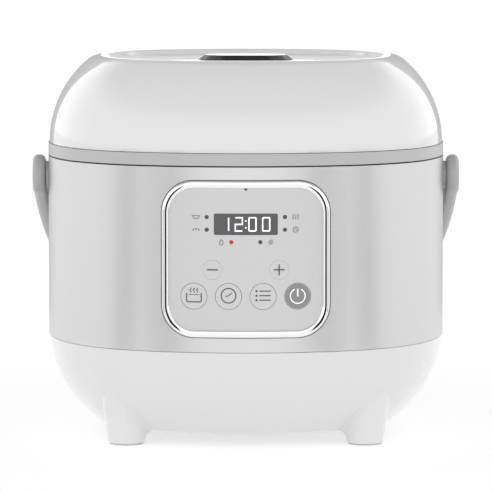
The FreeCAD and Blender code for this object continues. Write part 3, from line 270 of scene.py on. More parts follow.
def support(turn):
    # how far the outline reaches along the direction turn, and the slope of that reach: four wide bows
    # joined by four rounder corners, averaged over a few degrees so that the curvature changes gently
    bow, gap = housing["sideBow"], housing["sideBow"] - housing["cornerRadius"]
    off = bow - halfWidth
    start = math.acos(off / gap / math.sqrt(2)) - math.pi / 4
    reach, slope = 0, 0
    shifts = np.radians(np.linspace(-1, 1, 9) * housing["softenTurn"])
    for shift in shifts:
        here = turn + shift
        side = np.round(here / (np.pi / 2)) * np.pi / 2
        corner = np.abs(here - side) > start
        lean = side + np.sign(here - side) * start
        centreX = -off * np.cos(side) + corner * gap * np.cos(lean)
        centreY = -off * np.sin(side) + corner * gap * np.sin(lean)
        radius = np.where(corner, housing["cornerRadius"], bow)
        reach = reach + (centreX * np.cos(here) + centreY * np.sin(here) + radius) / len(shifts)
        slope = slope + (centreY * np.cos(here) - centreX * np.sin(here)) / len(shifts)
    return reach, slope


def outline(turn, inset):
    # the outline's point whose outward direction is turn, moved in by inset
    reach, slope = support(turn)
    x = (reach - inset) * np.cos(turn) - slope * np.sin(turn)
    y = (reach - inset) * np.sin(turn) + slope * np.cos(turn) + middleY
    return x, y


def arc(centreX, centreZ, radius, fromAngle, toAngle, count):
    angle = np.radians(np.linspace(fromAngle, toAngle, count))
    return np.column_stack([centreX + radius * np.cos(angle), centreZ + radius * np.sin(angle)])


def skin(profile, columns, pole=None):
    # carries a profile, distance from the middle against height, round the outline; rows nearer the middle
    # than pole shrink evenly towards it
    turn = np.linspace(0, 2 * np.pi, columns, endpoint=False)[None, :]
    distance, height = profile[:, :1], profile[:, 1:]
    held = np.maximum(distance, pole) if pole else distance
    x, y = outline(turn, halfWidth - held)
    share = distance / held
    return np.stack([x * share, (y - middleY) * share + middleY, height + x * 0], axis=2)


lid = {"domeInset": 0.8, "domeRadius": 62.0, "shoulderTurn": 50.0, "shoulderRadius": 11.5, "rimFlat": 1.5,
       "rimRoll": 5.0, "dishRoll": 4.0, "dishSlope": 40.0, "dishDepth": 3.3, "wall": 2.5, "ventHole": 9.2,
       "buttonLength": 44.0, "buttonDepth": 13.0, "buttonAhead": 60.0, "evenWithin": 70.0, "cutReach": 9.0,
       "columns": 480}


def lidProfile(wall):
    # the dome from its rim at the ring up over the shoulder and down the dished slope; wall moves it inwards
    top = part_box("lid_cover")[1].z / mm
    outer = halfWidth / mm - lid["domeInset"]
    axis = outer - lid["domeRadius"]
    turn = math.radians(lid["shoulderTurn"])
    spare = lid["domeRadius"] - lid["shoulderRadius"]
    base = top - lid["shoulderRadius"] - spare * math.sin(turn)
    shoulderX, shoulderZ = axis + spare * math.cos(turn), base + spare * math.sin(turn)
    rollX = shoulderX - lid["rimFlat"]
    lean = math.radians(lid["dishSlope"])
    depth = lid["dishDepth"]
    rolled = (lid["rimRoll"] + lid["dishRoll"]) * (1 - math.cos(lean))
    run = (depth - rolled) / math.sin(lean)
    lowX = rollX - lid["rimRoll"] * math.sin(lean) - run * math.cos(lean)
    floorX = lowX - lid["dishRoll"] * math.sin(lean)
    floorZ = top - depth
    if wall:
        return np.concatenate([
            [[0.0, floorZ - wall], [shoulderX - 5, floorZ - wall], [shoulderX - 2, top - wall]],
            arc(shoulderX, shoulderZ, lid["shoulderRadius"] - wall, 90, lid["shoulderTurn"], 8),
            arc(axis, base, lid["domeRadius"] - wall, lid["shoulderTurn"], 0, 16)[1:]])
    return np.concatenate([
        arc(axis, base, lid["domeRadius"], 0, lid["shoulderTurn"], 48),
        arc(shoulderX, shoulderZ, lid["shoulderRadius"], lid["shoulderTurn"], 90, 24)[1:],
        arc(rollX, top - lid["rimRoll"], lid["rimRoll"], 90, 90 + lid["dishSlope"], 12),
        arc(floorX, floorZ + lid["dishRoll"], lid["dishRoll"], 270 + lid["dishSlope"], 270, 12),
        [[floorX * 0.97, floorZ], [floorX * 0.6, floorZ], [0.0, floorZ]]])


def lidDome():
    profile = np.concatenate([lidProfile(0), lidProfile(lid["wall"])]) * mm
    points = skin(profile, lid["columns"], pole=lid["evenWithin"] * mm)
    made = makePiece("lidDome", gridMesh(points, closeRows=True), finishes["shell_white"], "lid",
                     ["lid_cover"])
    top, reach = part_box("lid_cover")[1].z, lid["cutReach"] * mm
    vent = pillOutline(0, middleY, lid["ventHole"] * 2 * mm, lid["ventHole"] * 2 * mm, 96)
    slot = pillOutline(0, middleY - lid["buttonAhead"] * mm, lid["buttonLength"] * mm,
                       lid["buttonDepth"] * mm, 96)
    cutAway(made, [prism(hole, top - reach, top + reach) for hole in (vent, slot)])
    # the flat floor of the dish glows a brighter white than the dome: painted light standing in for the bright
    # reflection it shows
    floorZ = top - lid["dishDepth"] * mm
    made.data.materials.append(dishPaintedGlow)
    for face in made.data.polygons:
        if abs(face.center.z - floorZ) < 0.01 * mm and face.normal.z > 0.99:
            face.material_index = 1
    return made


shell = {"underside": 7.0, "sideLean": 4.7, "sideRadius": 68.0, "edgeRadius": 14.0, "trimGap": 0.3,
         "grooveDeep": 1.2, "grooveTall": 0.6, "wall": 2.4, "footX": 68.0, "footY": 70.0, "footRadius": 10.5,
         "footDraft": 7.7, "footBlend": 5.0, "blendLeast": 0.6, "blendMost": 7.0, "footBottom": 0.8,
         "footEdge": 0.8, "footRoot": 1.4, "padRadius": 9.5, "padDepth": 1.3, "ventLength": 36.0,
         "ventWidth": 3.0, "ventPitch": 8.0, "ventsEachSide": 3, "screwX": 73.0, "screwY": 36.0,
         "screwHole": 1.65, "inletGap": 0.15, "evenWithin": 60.0, "columns": 480}


def shellProfile(wall):
    # the side's long curve, the tighter curve under it and the flat underside, all moved in by wall; the
    # outside starts with a small step in that reads as the groove under the band
    low = shell["underside"]
    top = bandLow.z / mm - shell["trimGap"]
    lean = shell["sideLean"]
    sideX = halfWidth / mm - shell["trimGap"] - shell["sideRadius"] * math.cos(math.radians(lean))
    sideZ = top + shell["sideRadius"] * math.sin(math.radians(lean))
    edgeZ = low + shell["edgeRadius"]
    spare = shell["sideRadius"] - shell["edgeRadius"]
    edgeX = sideX + math.sqrt(spare ** 2 - (sideZ - edgeZ) ** 2)
    meet = -math.degrees(math.asin((sideZ - edgeZ) / spare))
    grooveX = sideX + shell["sideRadius"] * math.cos(math.radians(lean)) - shell["grooveDeep"]
    groove = np.array([[grooveX, top], [grooveX, top - shell["grooveTall"]]])
    curves = np.concatenate([
        arc(sideX, sideZ, shell["sideRadius"] - wall, -lean, meet, 24 if wall else 64),
        arc(edgeX, edgeZ, shell["edgeRadius"] - wall, meet, -90, 12 if wall else 24)[1:],
        [[edgeX * 0.9, low + wall], [edgeX * 0.5, low + wall], [0.0, low + wall]]])
    return curves if wall else np.concatenate([groove, curves])


def shellHeight(x, y):
    # height of the shell's outside over a plan point: the point's inset is its least gap to the outline's
    # support lines
    turn = np.linspace(0, 2 * np.pi, 720, endpoint=False)
    reach, _ = support(turn)
    gap = reach - (x[..., None] * np.cos(turn) + (y[..., None] - middleY) * np.sin(turn))
    distance = halfWidth / mm - gap.min(axis=-1) / mm
    profile = shellProfile(0)[::-1]
    return np.interp(distance, profile[:, 0], profile[:, 1]) * mm


def footMoulding(signX, signY):
    # rings round the foot's axis: flat bottom, small edge round, drafted wall, then a blend that lands on
    # the shell: a parabola from the wall past the place where wall and shell would meet
    turn = np.linspace(0, 2 * np.pi, 120, endpoint=False)
    centreX, centreY = signX * shell["footX"] * mm, signY * shell["footY"] * mm + middleY
    draft = math.tan(math.radians(shell["footDraft"]))
    bottom, radius = shell["footBottom"] * mm, shell["footRadius"] * mm

    def over(distance):
        return shellHeight(centreX + distance * np.cos(turn), centreY + distance * np.sin(turn))

    meet = radius + 0 * turn
    for _ in range(30):
        meet = radius + (over(meet) - bottom) * draft
    meetZ = over(meet)
    slopeAt = (over(meet + 0.5 * mm) - over(meet - 0.5 * mm)) / (1 * mm)
    opening = np.pi / 2 + math.atan(draft) + np.arctan(slopeAt)
    blend = shell["footBlend"] * mm / np.tan(np.clip(opening, 0.6, 3.0) / 2)
    blend = np.clip(blend, shell["blendLeast"] * mm, shell["blendMost"] * mm)
    lands = meet + blend / np.sqrt(1 + slopeAt ** 2)
    landsZ = over(lands) + 0.015 * mm
    wallX, wallZ = meet - blend * math.sin(math.radians(shell["footDraft"])), meetZ - blend
    share = np.linspace(0, 1, 14)[:, None]
    blendR = (1 - share) ** 2 * wallX + 2 * share * (1 - share) * meet + share ** 2 * lands
    blendZ = (1 - share) ** 2 * wallZ + 2 * share * (1 - share) * meetZ + share ** 2 * landsZ
    edge = shell["footEdge"] * mm
    edgeTurn = np.linspace(0, np.pi / 2, 6)[:, None]
    edgeR = radius - edge + edge * np.sin(edgeTurn) + 0 * turn
    edgeZ = bottom + edge - edge * np.cos(edgeTurn) + 0 * turn
    wall = np.linspace(0, 1, 8)[1:-1, None]
    wallR = edgeR[-1] * (1 - wall) + blendR[0] * wall
    wallHigh = edgeZ[-1] * (1 - wall) + blendZ[0] * wall
    root = shell["footRoot"] * mm
    centre = 0 * turn[None, :]
    rings = np.concatenate([centre, edgeR, wallR, blendR, blendR[-1:] - 0.5 * mm, centre])
    highs = np.concatenate([edgeZ[:1], edgeZ, wallHigh, blendZ, blendZ[-1:] + root,
                            meetZ.mean() + root + centre])
    points = np.stack([centreX + rings * np.cos(turn), centreY + rings * np.sin(turn), highs], axis=2)
    return gridMesh(points)


def lowerShell():
    profile = np.concatenate([shellProfile(0), shellProfile(shell["wall"])[::-1]]) * mm
    points = skin(profile, shell["columns"], pole=shell["evenWithin"] * mm)
    made = makePiece("lowerShell", gridMesh(points, closeRows=True), finishes["shell_white"], "housing",
                     ["lower_shell"])
    floor = shell["underside"] * mm
    low, high = floor - 4 * mm, floor + 6 * mm
    side = shell["ventsEachSide"]
    corners = [(x, y) for x in (-1, 1) for y in (-1, 1)]
    hole = shell["screwHole"] * 2 * mm
    holes = [pillOutline(0, middleY + place * shell["ventPitch"] * mm, shell["ventLength"] * mm,
                         shell["ventWidth"] * mm) for place in range(-side, side + 1)]
    holes += [pillOutline(x * shell["screwX"] * mm, middleY + y * shell["screwY"] * mm, hole, hole, 32)
              for x, y in corners]
    # the opening for the inlet runs well in front of and behind the wall
    inletLow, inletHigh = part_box("power_inlet")
    gap = shell["inletGap"] * mm
    x0, x1, y0, y1 = inletLow.x - gap, inletHigh.x + gap, inletLow.y - 8 * mm, inletHigh.y + 9 * mm
    opening = np.array([[x0, y0], [x1, y0], [x1, y1], [x0, y1]])
    cutAway(made, [prism(hole, low, high) for hole in holes]
            + [prism(opening, inletLow.z - gap, inletHigh.z + gap)])

    feet = makePiece("feet", joined([footMoulding(x, y) for x, y in corners]), finishes["shell_white"],
                     "housing")
    pad = shell["padRadius"] * 2 * mm
    seats = [pillOutline(x * shell["footX"] * mm, middleY + y * shell["footY"] * mm, pad, pad, 64)
             for x, y in corners]
    cutAway(feet, [prism(seat, -1 * mm, (shell["footBottom"] + shell["padDepth"]) * mm) for seat in seats])
    return made


# The bail handle.

handle = {"thick": 7.5, "tall": 15.0, "endRadius": 11.5, "edgeRound": 3.3, "cornerRadius": 45.0, "reach": 142.5,
          "armBow": 740.0, "restTilt": 28.0, "bore": 4.1, "sinkRadius": 6.0, "sinkDepth": 2.0, "blend": 3.0,
          "blendFrom": 5.0, "blendOver": 10.0}


def handleLine():
    # the strap's centre line seen square on: bowed arm, round corner, straight grip, then the same mirrored;
    # rows of x, y, outward direction and distance past the nearer pivot
    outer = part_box("handle")[1].x / mm
    corner = handle["cornerRadius"] - handle["thick"] / 2
    bow = handle["armBow"] - handle["thick"] / 2
    along = handle["reach"] - handle["cornerRadius"]
    knee = math.asin(along / (bow - corner))
    axis = outer - handle["armBow"]
    cornerX = axis + (bow - corner) * math.cos(knee)
    end = handle["endRadius"]
    past = np.concatenate([-end * np.cos(np.linspace(0, np.pi / 2, 28)), np.linspace(0, end + 8, 48)[1:],
                           np.linspace(end + 8, bow * knee, 16)[1:]])
    arm = np.column_stack([axis + bow * np.cos(past / bow), bow * np.sin(past / bow), past / bow, past])
    turn = np.linspace(knee, np.pi / 2, 40)[1:]
    bend = np.column_stack([cornerX + corner * np.cos(turn), along + corner * np.sin(turn), turn,
                            bow * knee + corner * (turn - knee)])
    across = np.linspace(1, 0, 16)[1:] * cornerX
    grip = np.column_stack([across, 0 * across + along + corner, 0 * across + np.pi / 2,
                            bend[-1, 3] + cornerX - across])
    right = np.concatenate([arm, bend, grip])
    left = right[-2::-1] * [-1, 1, 1, 1]
    left[:, 2] = np.pi - left[:, 2]
    return np.concatenate([right, left])


def carryHandle():
    # a section with quarter-round edges carried along the line; about each pivot its height follows a disc,
    # whose rim is rounded like the strap's, and a soft maximum joins the disc to the strap
    x, y, turn, past = handleLine().T[:, :, None]
    half, edge, end = handle["thick"] / 2, handle["edgeRound"], handle["endRadius"]
    tip = np.arcsin(np.clip((-past - end + edge) / edge, 0, 1))
    quarter = tip + (np.pi / 2 - tip) * np.linspace(0, 1, 10)[None, :]
    wide, rise = half - edge + edge * np.cos(quarter), edge * np.sin(quarter)
    disc = np.sqrt(np.maximum((end - edge + rise) ** 2 - past ** 2, 0))
    strap = handle["tall"] / 2 - edge + rise
    over = handle["blendOver"]
    fade = np.clip(past / handle["blendFrom"], 0, 1) * np.clip((end + over - past) / over, 0, 1)
    soft = handle["blend"] * fade
    high = np.where(past < 0, disc, (disc + strap + np.sqrt((disc - strap) ** 2 + soft ** 2)) / 2)
    offset = np.concatenate([wide, -wide[:, ::-1], -wide, wide[:, ::-1]], axis=1)
    lift = np.concatenate([high, high[:, ::-1], -high, -high[:, ::-1]], axis=1)
    flatX, flatY = x + np.cos(turn) * offset, y + np.sin(turn) * offset
    tilt = -math.radians(handle["restTilt"])
    pivotLow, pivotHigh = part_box("pivot_screw_right")
    pivotZ = (pivotLow.z + pivotHigh.z) / 2
    points = np.stack([flatX, flatY * math.cos(tilt) - lift * math.sin(tilt),
                       flatY * math.sin(tilt) + lift * math.cos(tilt)], axis=2) * mm + [0, middleY, pivotZ]
    made = makePiece("carryHandle", gridMesh(points), finishes["handle_grey"], "handle",
                     ["handle"])
    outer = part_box("handle")[1].x
    inner, sink = outer - handle["thick"] * mm, outer - handle["sinkDepth"] * mm
    cutters = []
    for side in (-1, 1):
        cutters.append(sidePost(handle["bore"] * mm, side * (inner - 2 * mm), side * (sink + 0.5 * mm),
                                pivotZ))
        cutters.append(sidePost(handle["sinkRadius"] * mm, side * sink, side * (outer + 3 * mm), pivotZ))
    return cutAway(made, cutters)


def sidePost(radius, fromX, toX, z):
    # a closed post along X, in the housing's middle at height z
    turn = np.linspace(0, 2 * np.pi, 72, endpoint=False)
    rings = [(0, fromX), (radius, fromX), (radius, toX), (0, toX)]
    return gridMesh(np.stack([np.column_stack([0 * turn + x, middleY + size * np.cos(turn),
                                               z + size * np.sin(turn)]) for size, x in rings]))


# The plated ring round the control panel.

panelEdge = {"border": 4.5, "corner": 18.4, "proud": 1.8, "behind": 2.4, "gap": 0.2, "flatness": 3.2}


def bowedFront(x, proud):
    # depth of the band's bowed front at x, moved out by proud
    bow = housing["sideBow"]
    return bandLow.y + bow - np.sqrt((bow + proud) ** 2 - x ** 2)


def roundedPath(width, height, corner, across, up, perCorner=24, perSide=16):
    # a rounded rectangle in the front plane from its right side anticlockwise, with its outward directions
    turn = np.concatenate([np.linspace(start, start + np.pi / 2, perCorner)
                           for start in np.arange(4) * np.pi / 2])
    signX = np.repeat([1, -1, -1, 1], perCorner)
    signZ = np.repeat([1, 1, -1, -1], perCorner)
    corners = np.column_stack([signX * (width / 2 - corner) + corner * np.cos(turn),
                               signZ * (height / 2 - corner) + corner * np.sin(turn)])
    points, normals = [], []
    for index in range(4):
        some = slice(index * perCorner, (index + 1) * perCorner)
        last, following = corners[some][-1], corners[(index + 1) * perCorner % len(corners)]
        share = np.linspace(0, 1, perSide + 1)[1:-1, None]
        points += [corners[some], last * (1 - share) + following * share]
        away = np.column_stack([np.cos(turn[some]), np.sin(turn[some])])
        normals += [away, away[-1:] + 0 * share]
    return np.concatenate(points) + [across, up], np.concatenate(normals)


def panelRing():
    # a flat-crowned dome, the root of one less a power of the distance from its middle, carried round the
    # outline; gap keeps it clear of the box of the piece it replaces
    low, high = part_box("chrome_bezel")
    gap = 2 * panelEdge["gap"] * mm
    path, away = roundedPath(high.x - low.x - gap, high.z - low.z - gap, panelEdge["corner"] * mm, 0,
                             (low.z + high.z) / 2)
    swing = np.radians(np.linspace(0, 180, 41))
    half = panelEdge["border"] * mm / 2
    inset = np.concatenate([half - half * np.cos(swing), [2 * half, 0]])
    back = -panelEdge["behind"] * mm
    dome = np.sqrt(1 - np.abs(np.cos(swing)) ** panelEdge["flatness"])
    proud = np.concatenate([panelEdge["proud"] * mm * dome, [back, back]])
    x = path[None, :, 0] - away[None, :, 0] * inset[:, None]
    z = path[None, :, 1] - away[None, :, 1] * inset[:, None]
    points = np.stack([x, bowedFront(x, proud[:, None]), z], axis=2)
    return makePiece("panelRing", gridMesh(points, closeRows=True), finishes["bezel_chrome"], "housing",
                     ["chrome_bezel"], sharp=50)


# Printed marks on the keys, the panel and the display.

marks = {"thick": 0.09, "sunk": 0.1, "keyProud": 0.75, "panelProud": 0.6, "windowProud": 0.5,
         "pictureLine": 0.42}


def frontSheet(rings):
    # rings of points in the front plane, each at its own height over the bowed front
    return np.stack([np.column_stack([ring[:, 0], bowedFront(ring[:, 0], high * mm), ring[:, 1]])
                     for ring, high in rings])


def stroke(points, width, proud, closed=False):
    # a thin raised line along points, its corners mitred
    points = np.asarray(points, float) * mm
    ahead = np.roll(points, -1, axis=0) - points
    behind = points - np.roll(points, 1, axis=0)
    if not closed:
        ahead[-1], behind[0] = behind[-1], ahead[0]
    ahead /= np.linalg.norm(ahead, axis=1)[:, None]
    behind /= np.linalg.norm(behind, axis=1)[:, None]
    mitre = np.column_stack([-(ahead + behind)[:, 1], (ahead + behind)[:, 0]])
    mitre *= width * mm / np.maximum((mitre ** 2).sum(axis=1), 0.8)[:, None]
    low, high = proud - marks["sunk"], proud + marks["thick"]
    grid = frontSheet([(points + mitre, low), (points + mitre, high), (points - mitre, high),
                       (points - mitre, low)]).transpose(1, 0, 2)
    faces = gridFaces(len(points), 4, closed, True)
    if not closed:
        last = len(points) * 4 - 4
        faces = np.concatenate([faces, [[3, 2, 1, 0], [last, last + 1, last + 2, last + 3]]])
    return facingOut(grid.reshape(-1, 3), faces)


def circlePath(x, z, radius, fromTurn=0, toTurn=360, count=48):
    turn = np.radians(np.linspace(fromTurn, toTurn, count, endpoint=toTurn - fromTurn < 360))
    return np.column_stack([x + radius * np.cos(turn), z + radius * np.sin(turn)])


def plate(points, proud):
    # a flat raised patch on an outline
    ring = np.asarray(points, float) * mm
    middle = ring.mean(axis=0) + 0 * ring
    low, high = proud - marks["sunk"], proud + marks["thick"]
    return gridMesh(frontSheet([(middle, low), (ring, low), (ring, high), (middle, high)]))


def mark(name, shapes, ink, body):
    return makePiece(name, joined(shapes), inks[ink], body)


def nodeMiddle(node):
    low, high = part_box(node)
    return (low.x + high.x) / 2 / mm, (low.z + high.z) / 2 / mm


def keyMarks():
    proud = marks["keyProud"]
    x, z = nodeMiddle("cook_key")
    pan = np.concatenate([[[x - 4.1, z + 1.75]], circlePath(x - 3.1, z - 2.2, 1.0, 180, 270, 8),
                          circlePath(x + 3.1, z - 2.2, 1.0, 270, 359.9, 8), [[x + 4.1, z + 1.75]]])
    shapes = [stroke(pan, 0.62, proud), stroke([(x - 2.8, z + 0.95), (x + 2.8, z + 0.95)], 0.36, proud)]
    rise = np.linspace(0, 1, 17)
    for side in (-1.95, -0.05, 1.85):
        wave = np.column_stack([x + side + 0.36 * np.sin(rise * 3 * np.pi), z + 2.15 + rise * 2.5])
        shapes.append(stroke(wave, 0.42, proud))
    mark("cookMark", shapes, "grey", "cook_key")

    x, z = nodeMiddle("timer_key")
    hands = [(x - 1.95, z + 0.1), (x - 0.25, z + 0.3), (x + 2.0, z + 2.05)]
    mark("timerMark", [stroke(circlePath(x, z + 0.45, 4.1), 0.62, proud, True), stroke(hands, 0.5, proud)],
         "grey", "timer_key")

    x, z = nodeMiddle("menu_key")
    shapes = []
    for row in (3.05, 0.5, -2.05):
        shapes += [plate(circlePath(x - 3.7, z + row, 0.62, count=20), proud),
                   stroke([(x - 2.1, z + row), (x + 4.25, z + row)], 0.62, proud)]
    mark("menuMark", shapes, "grey", "menu_key")

    x, z = nodeMiddle("power_key")
    mark("powerDisc", [plate(circlePath(x, z, 7.02, count=72), proud)], "disc", "power_key")
    raised = proud + marks["thick"]
    mark("powerMark", [stroke(circlePath(x, z + 0.1, 4.15, 115, 425), 0.65, raised),
                       stroke([(x, z + 4.2), (x, z - 0.2)], 0.78, raised)], "white", "power_key")

    for node, name in (("minus_key", "minusMark"), ("plus_key", "plusMark")):
        x, z = nodeMiddle(node)
        shapes = [stroke([(x - 3.0, z), (x + 3.0, z)], 0.66, proud)]
        if name == "plusMark":
            shapes.append(stroke([(x, z - 3.0), (x, z + 3.0)], 0.66, proud))
        mark(name, shapes, "grey", node)


display = {"digitHeight": 8.2, "digitWidth": 4.7, "line": 0.77, "cells": (-11.55, -3.9, 3.7, 11.35)}


def displayDigits():
    # a clock reading: each digit a rounded line, the one at the right of its cell
    low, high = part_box("display_window")
    z = (low.z + high.z) / 2 / mm
    proud, line = marks["windowProud"], display["line"]
    halfHigh, halfWide = (display["digitHeight"] - line) / 2, (display["digitWidth"] - line) / 2
    first, second, third, fourth = display["cells"]
    one = [(first + halfWide, z - halfHigh), (first + halfWide, z + halfHigh)]
    left, right = second - halfWide, second + halfWide
    two = [(left, z + halfHigh), (right, z + halfHigh), (right, z), (left, z), (left, z - halfHigh),
           (right, z - halfHigh)]
    shapes = [stroke(one, line, proud), stroke(two, line, proud)]
    for cell in (third, fourth):
        loop, _ = roundedPath(2 * halfWide, 2 * halfHigh, 0.6, cell, z, 6, 3)
        shapes.append(stroke(loop, line, proud, True))
    shapes += [plate(circlePath(0, z + side, 0.48, count=20), proud) for side in (-1.9, 1.9)]
    mark("displayDigits", shapes, "lit", "housing")


def riceGrain(x, z, lean, proud):
    # an oval turned by lean
    turn = np.linspace(0, 2 * np.pi, 16, endpoint=False)
    long, short = 0.75 * np.cos(turn), 0.36 * np.sin(turn)
    return plate(np.column_stack([x + long * math.cos(lean) - short * math.sin(lean),
                                  z + long * math.sin(lean) + short * math.cos(lean)]), proud)


def panelPictograms():
    # small plain pictures beside the lamps: bowl, grains, steam, dial, flame and sun
    proud, line = marks["panelProud"], marks["pictureLine"]
    rise = np.linspace(-1, 1, 15)
    bowl = [stroke(circlePath(-27.8, 133.7, 1.7, 180, 360, 20), line, proud),
            stroke([(-30.2, 133.8), (-25.4, 133.8)], line, proud)]
    grains = [riceGrain(x, z, lean, proud) for x, z, lean in ((-29.2, 126.0, 1.0), (-27.8, 126.3, 1.6),
                                                              (-26.4, 126.0, 2.1))]
    steam = [stroke(np.column_stack([27.8 + side + 0.3 * np.sin(rise * 4), 133.1 + rise * 1.4]), line,
                    proud) for side in (-1.4, 0, 1.4)]
    dial = [stroke(circlePath(27.8, 126.0, 1.45, count=28), line, proud, True),
            stroke([(27.8, 127.0), (27.8, 126.0), (28.6, 125.6)], line, proud)]
    side = np.linspace(0, 2 * np.pi, 28, endpoint=False)
    flame = [stroke(np.column_stack([-13.7 + 1.0 * np.sin(side) * (0.75 - 0.35 * np.cos(side)) * 1.2,
                                     119.0 + 1.5 * np.cos(side)]), line, proud, True)]
    sun = [stroke(circlePath(13.9, 119.1, 0.75, count=20), line, proud, True)]
    for turn in np.arange(8) * math.pi / 4:
        ray = [(13.9 + away * math.cos(turn), 119.1 + away * math.sin(turn)) for away in (1.15, 1.6)]
        sun.append(stroke(ray, line * 0.8, proud))
    mark("panelPictograms", bowl + grains + steam + dial + flame + sun, "mid", "housing")
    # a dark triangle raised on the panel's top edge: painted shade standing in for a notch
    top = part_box("control_panel")[1].z / mm - 0.15
    mark("panelNotchPaintedShade", [plate([(-1.2, top), (0.0, top - 1.4), (1.2, top)], proud)], "grey", "housing")


print("shaping the lid, shell, handle and panel ring")
lidDome()
lowerShell()
carryHandle()
panelRing()
print("printing the marks")
keyMarks()
displayDigits()
panelPictograms()


# Floor, reflection cards, light and camera.

stage = {"floorHalf": 30, "floorGlow": 0.42, "floorGrey": 0.8, "floorGloss": 0.2, "bounceDrop": 0.002,
         "bounceGrey": 0.75, "bounceGlow": 0.3, "bounceGloss": 0.5, "cardGrey": 0.5, "cardBehind": 0.6,
         "cardHalf": 0.38, "cardSplit": 0.105, "cardTop": 0.5, "cardLow": 0.21, "cardLift": 0.001,
         "whiteGrey": 1.5, "whiteHalf": 0.17, "whiteFrom": 0.16, "whiteTo": 0.36, "darkGrey": 0.02,
         "darkFrom": 27.5, "darkTo": 37.5, "softGrey": 0.4, "softFrom": 50, "softTo": 66, "stripNear": 0.4,
         "stripFar": 8.0, "lightStrength": 1.43}


def stageSheet(name, corners, material):
    data = bpy.data.meshes.new(name)
    data.from_pydata(corners, [], [(0, 1, 2, 3)])
    data.materials.append(material)
    made = bpy.data.objects.new(name, data)
    bpy.context.scene.collection.objects.link(made)
    return made


def floorSheet(name, height, part):
    # a wide matt sheet with a glow of its own; part picks its values
    material, _, shader, _ = startMaterial(name)
    shader.inputs["Base Color"].default_value = (stage[part + "Grey"],) * 3 + (1,)
    shader.inputs["Roughness"].default_value = 0.9
    shader.inputs["Specular IOR Level"].default_value = stage[part + "Gloss"]
    shader.inputs["Emission Color"].default_value = (1, 1, 1, 1)
    shader.inputs["Emission Strength"].default_value = stage[part + "Glow"]
    half = stage["floorHalf"]
    corners = [(-half, -half, height), (half, -half, height), (half, half, height), (-half, half, height)]
    return stageSheet(name, corners, material)


def upright(y, left, right, low, high):
    return [(left, y, low), (right, y, low), (right, y, high), (left, y, high)]


def floorAndCards():
    # the seen floor, and one just under it that only lights the object from below
    floorSheet("floor", 0, "floor").visible_diffuse = False
    under = floorSheet("floorBounce", -stage["bounceDrop"], "bounce")
    under.visible_camera = under.visible_glossy = under.visible_shadow = False

    # grey cards behind the object and a white one beyond them, for the dish's gloss
    half, split = stage["cardHalf"], stage["cardSplit"]
    behind, lift = stage["cardBehind"], stage["cardLift"]
    for name, left, right, top in (("cardLeft", -half, -split, stage["cardTop"]),
                                   ("cardRight", split, half, stage["cardTop"]),
                                   ("cardMiddle", -split, split, stage["cardLow"])):
        reflectionCard(name, stage["cardGrey"], upright(behind, left, right, lift, top))
    wide = stage["whiteHalf"]
    reflectionCard("cardWhite", stage["whiteGrey"],
                   upright(2 * behind, -wide, wide, stage["whiteFrom"], stage["whiteTo"]))

    # strips along the floor in front, between two directions from the middle, for the band and its ring
    near, far = stage["stripNear"], stage["stripFar"]
    for kind in ("dark", "soft"):
        first, last = math.radians(stage[kind + "From"]), math.radians(stage[kind + "To"])
        for side, hand in ((-1, "Left"), (1, "Right")):
            corners = [(side * away * math.sin(turn), -away * math.cos(turn), lift)
                       for away, turn in ((near, first), (near, last), (far, last), (far, first))]
            reflectionCard(kind + hand, stage[kind + "Grey"], corners)


def reflectionCard(name, grey, corners):
    # a glowing sheet that shows only in the gloss of the object
    card, _, shader, _ = startMaterial(name)
    shader.inputs["Base Color"].default_value = (0, 0, 0, 1)
    shader.inputs["Specular IOR Level"].default_value = 0
    shader.inputs["Emission Color"].default_value = (grey, grey, grey, 1)
    shader.inputs["Emission Strength"].default_value = 1.0
    made = stageSheet(name, corners, card)
    made.visible_camera = made.visible_diffuse = made.visible_shadow = False


def calculate(tree, operation, *values):
    node = tree.nodes.new("ShaderNodeMath")
    node.operation = operation
    for socket, value in zip(node.inputs, values):
        if isinstance(value, (int, float)):
            socket.default_value = value
        else:
            tree.links.new(value, socket)
    return node.outputs["Value"]


def ramp(tree, value, stops):
    node = tree.nodes.new("ShaderNodeValToRGB")
    elements = node.color_ramp.elements
    for index, (where, bright) in enumerate(stops):
        element = elements[index] if index < 2 else elements.new(where)
        element.position = where
        element.color = (bright, bright, bright, 1)
    tree.links.new(value, node.inputs["Fac"])
    return node.outputs["Color"]


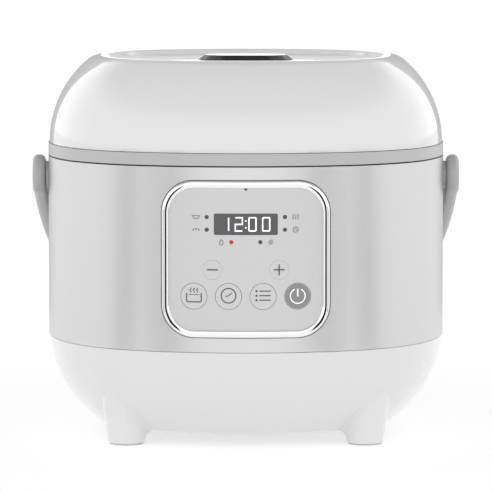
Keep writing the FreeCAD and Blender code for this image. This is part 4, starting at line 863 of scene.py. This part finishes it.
def studioLight():
    # a soft white room, grey behind and dimmer overhead: one ramp by the turn away from the front, as a
    # share of half a turn, times one by height
    world = bpy.data.worlds.new("studio")
    bpy.context.scene.world = world
    world.use_nodes = True
    tree = world.node_tree
    direction = tree.nodes.new("ShaderNodeTexCoord").outputs["Generated"]
    split = tree.nodes.new("ShaderNodeSeparateXYZ")
    tree.links.new(direction, split.inputs["Vector"])
    across = calculate(tree, "ABSOLUTE", split.outputs["X"])
    turn = calculate(tree, "ARCTAN2", across, calculate(tree, "MULTIPLY", split.outputs["Y"], -1))
    around = ramp(tree, calculate(tree, "DIVIDE", turn, math.pi),
                  [(0, 0.98), (100 / 180, 0.9), (150 / 180, 1.0), (156 / 180, 1.05), (159 / 180, 0.5),
                   (1, 0.5)])
    level = calculate(tree, "ABSOLUTE", split.outputs["Z"])
    above = ramp(tree, level, [(0, 1), (0.45, 1), (0.68, 0.42), (1, 0.33)])
    both = tree.nodes.new("ShaderNodeMix")
    both.data_type = "RGBA"
    both.blend_type = "MULTIPLY"
    both.inputs["Factor"].default_value = 1
    colours = [socket for socket in both.inputs if socket.type == "RGBA"]
    tree.links.new(around, colours[0])
    tree.links.new(above, colours[1])
    background = tree.nodes["Background"]
    product = [socket for socket in both.outputs if socket.type == "RGBA"][0]
    tree.links.new(product, background.inputs["Color"])
    background.inputs["Strength"].default_value = stage["lightStrength"]


camera = {"x": 0.0001, "away": 2.45, "height": 0.3235, "aimHeight": 0.1068, "lens": 307.8}


def frontCamera():
    data = bpy.data.cameras.new("frontCamera")
    data.lens = camera["lens"]
    data.clip_end = 100
    made = bpy.data.objects.new("frontCamera", data)
    bpy.context.scene.collection.objects.link(made)
    made.location = (camera["x"], middleY - camera["away"], camera["height"])
    aim = Vector((camera["x"], middleY, camera["aimHeight"])) - made.location
    made.rotation_euler = aim.to_track_quat("-Z", "Y").to_euler()
    bpy.context.scene.camera = made


print("setting the stage")
floorAndCards()
studioLight()
frontCamera()
bpy.context.scene.view_settings.view_transform = "Standard"
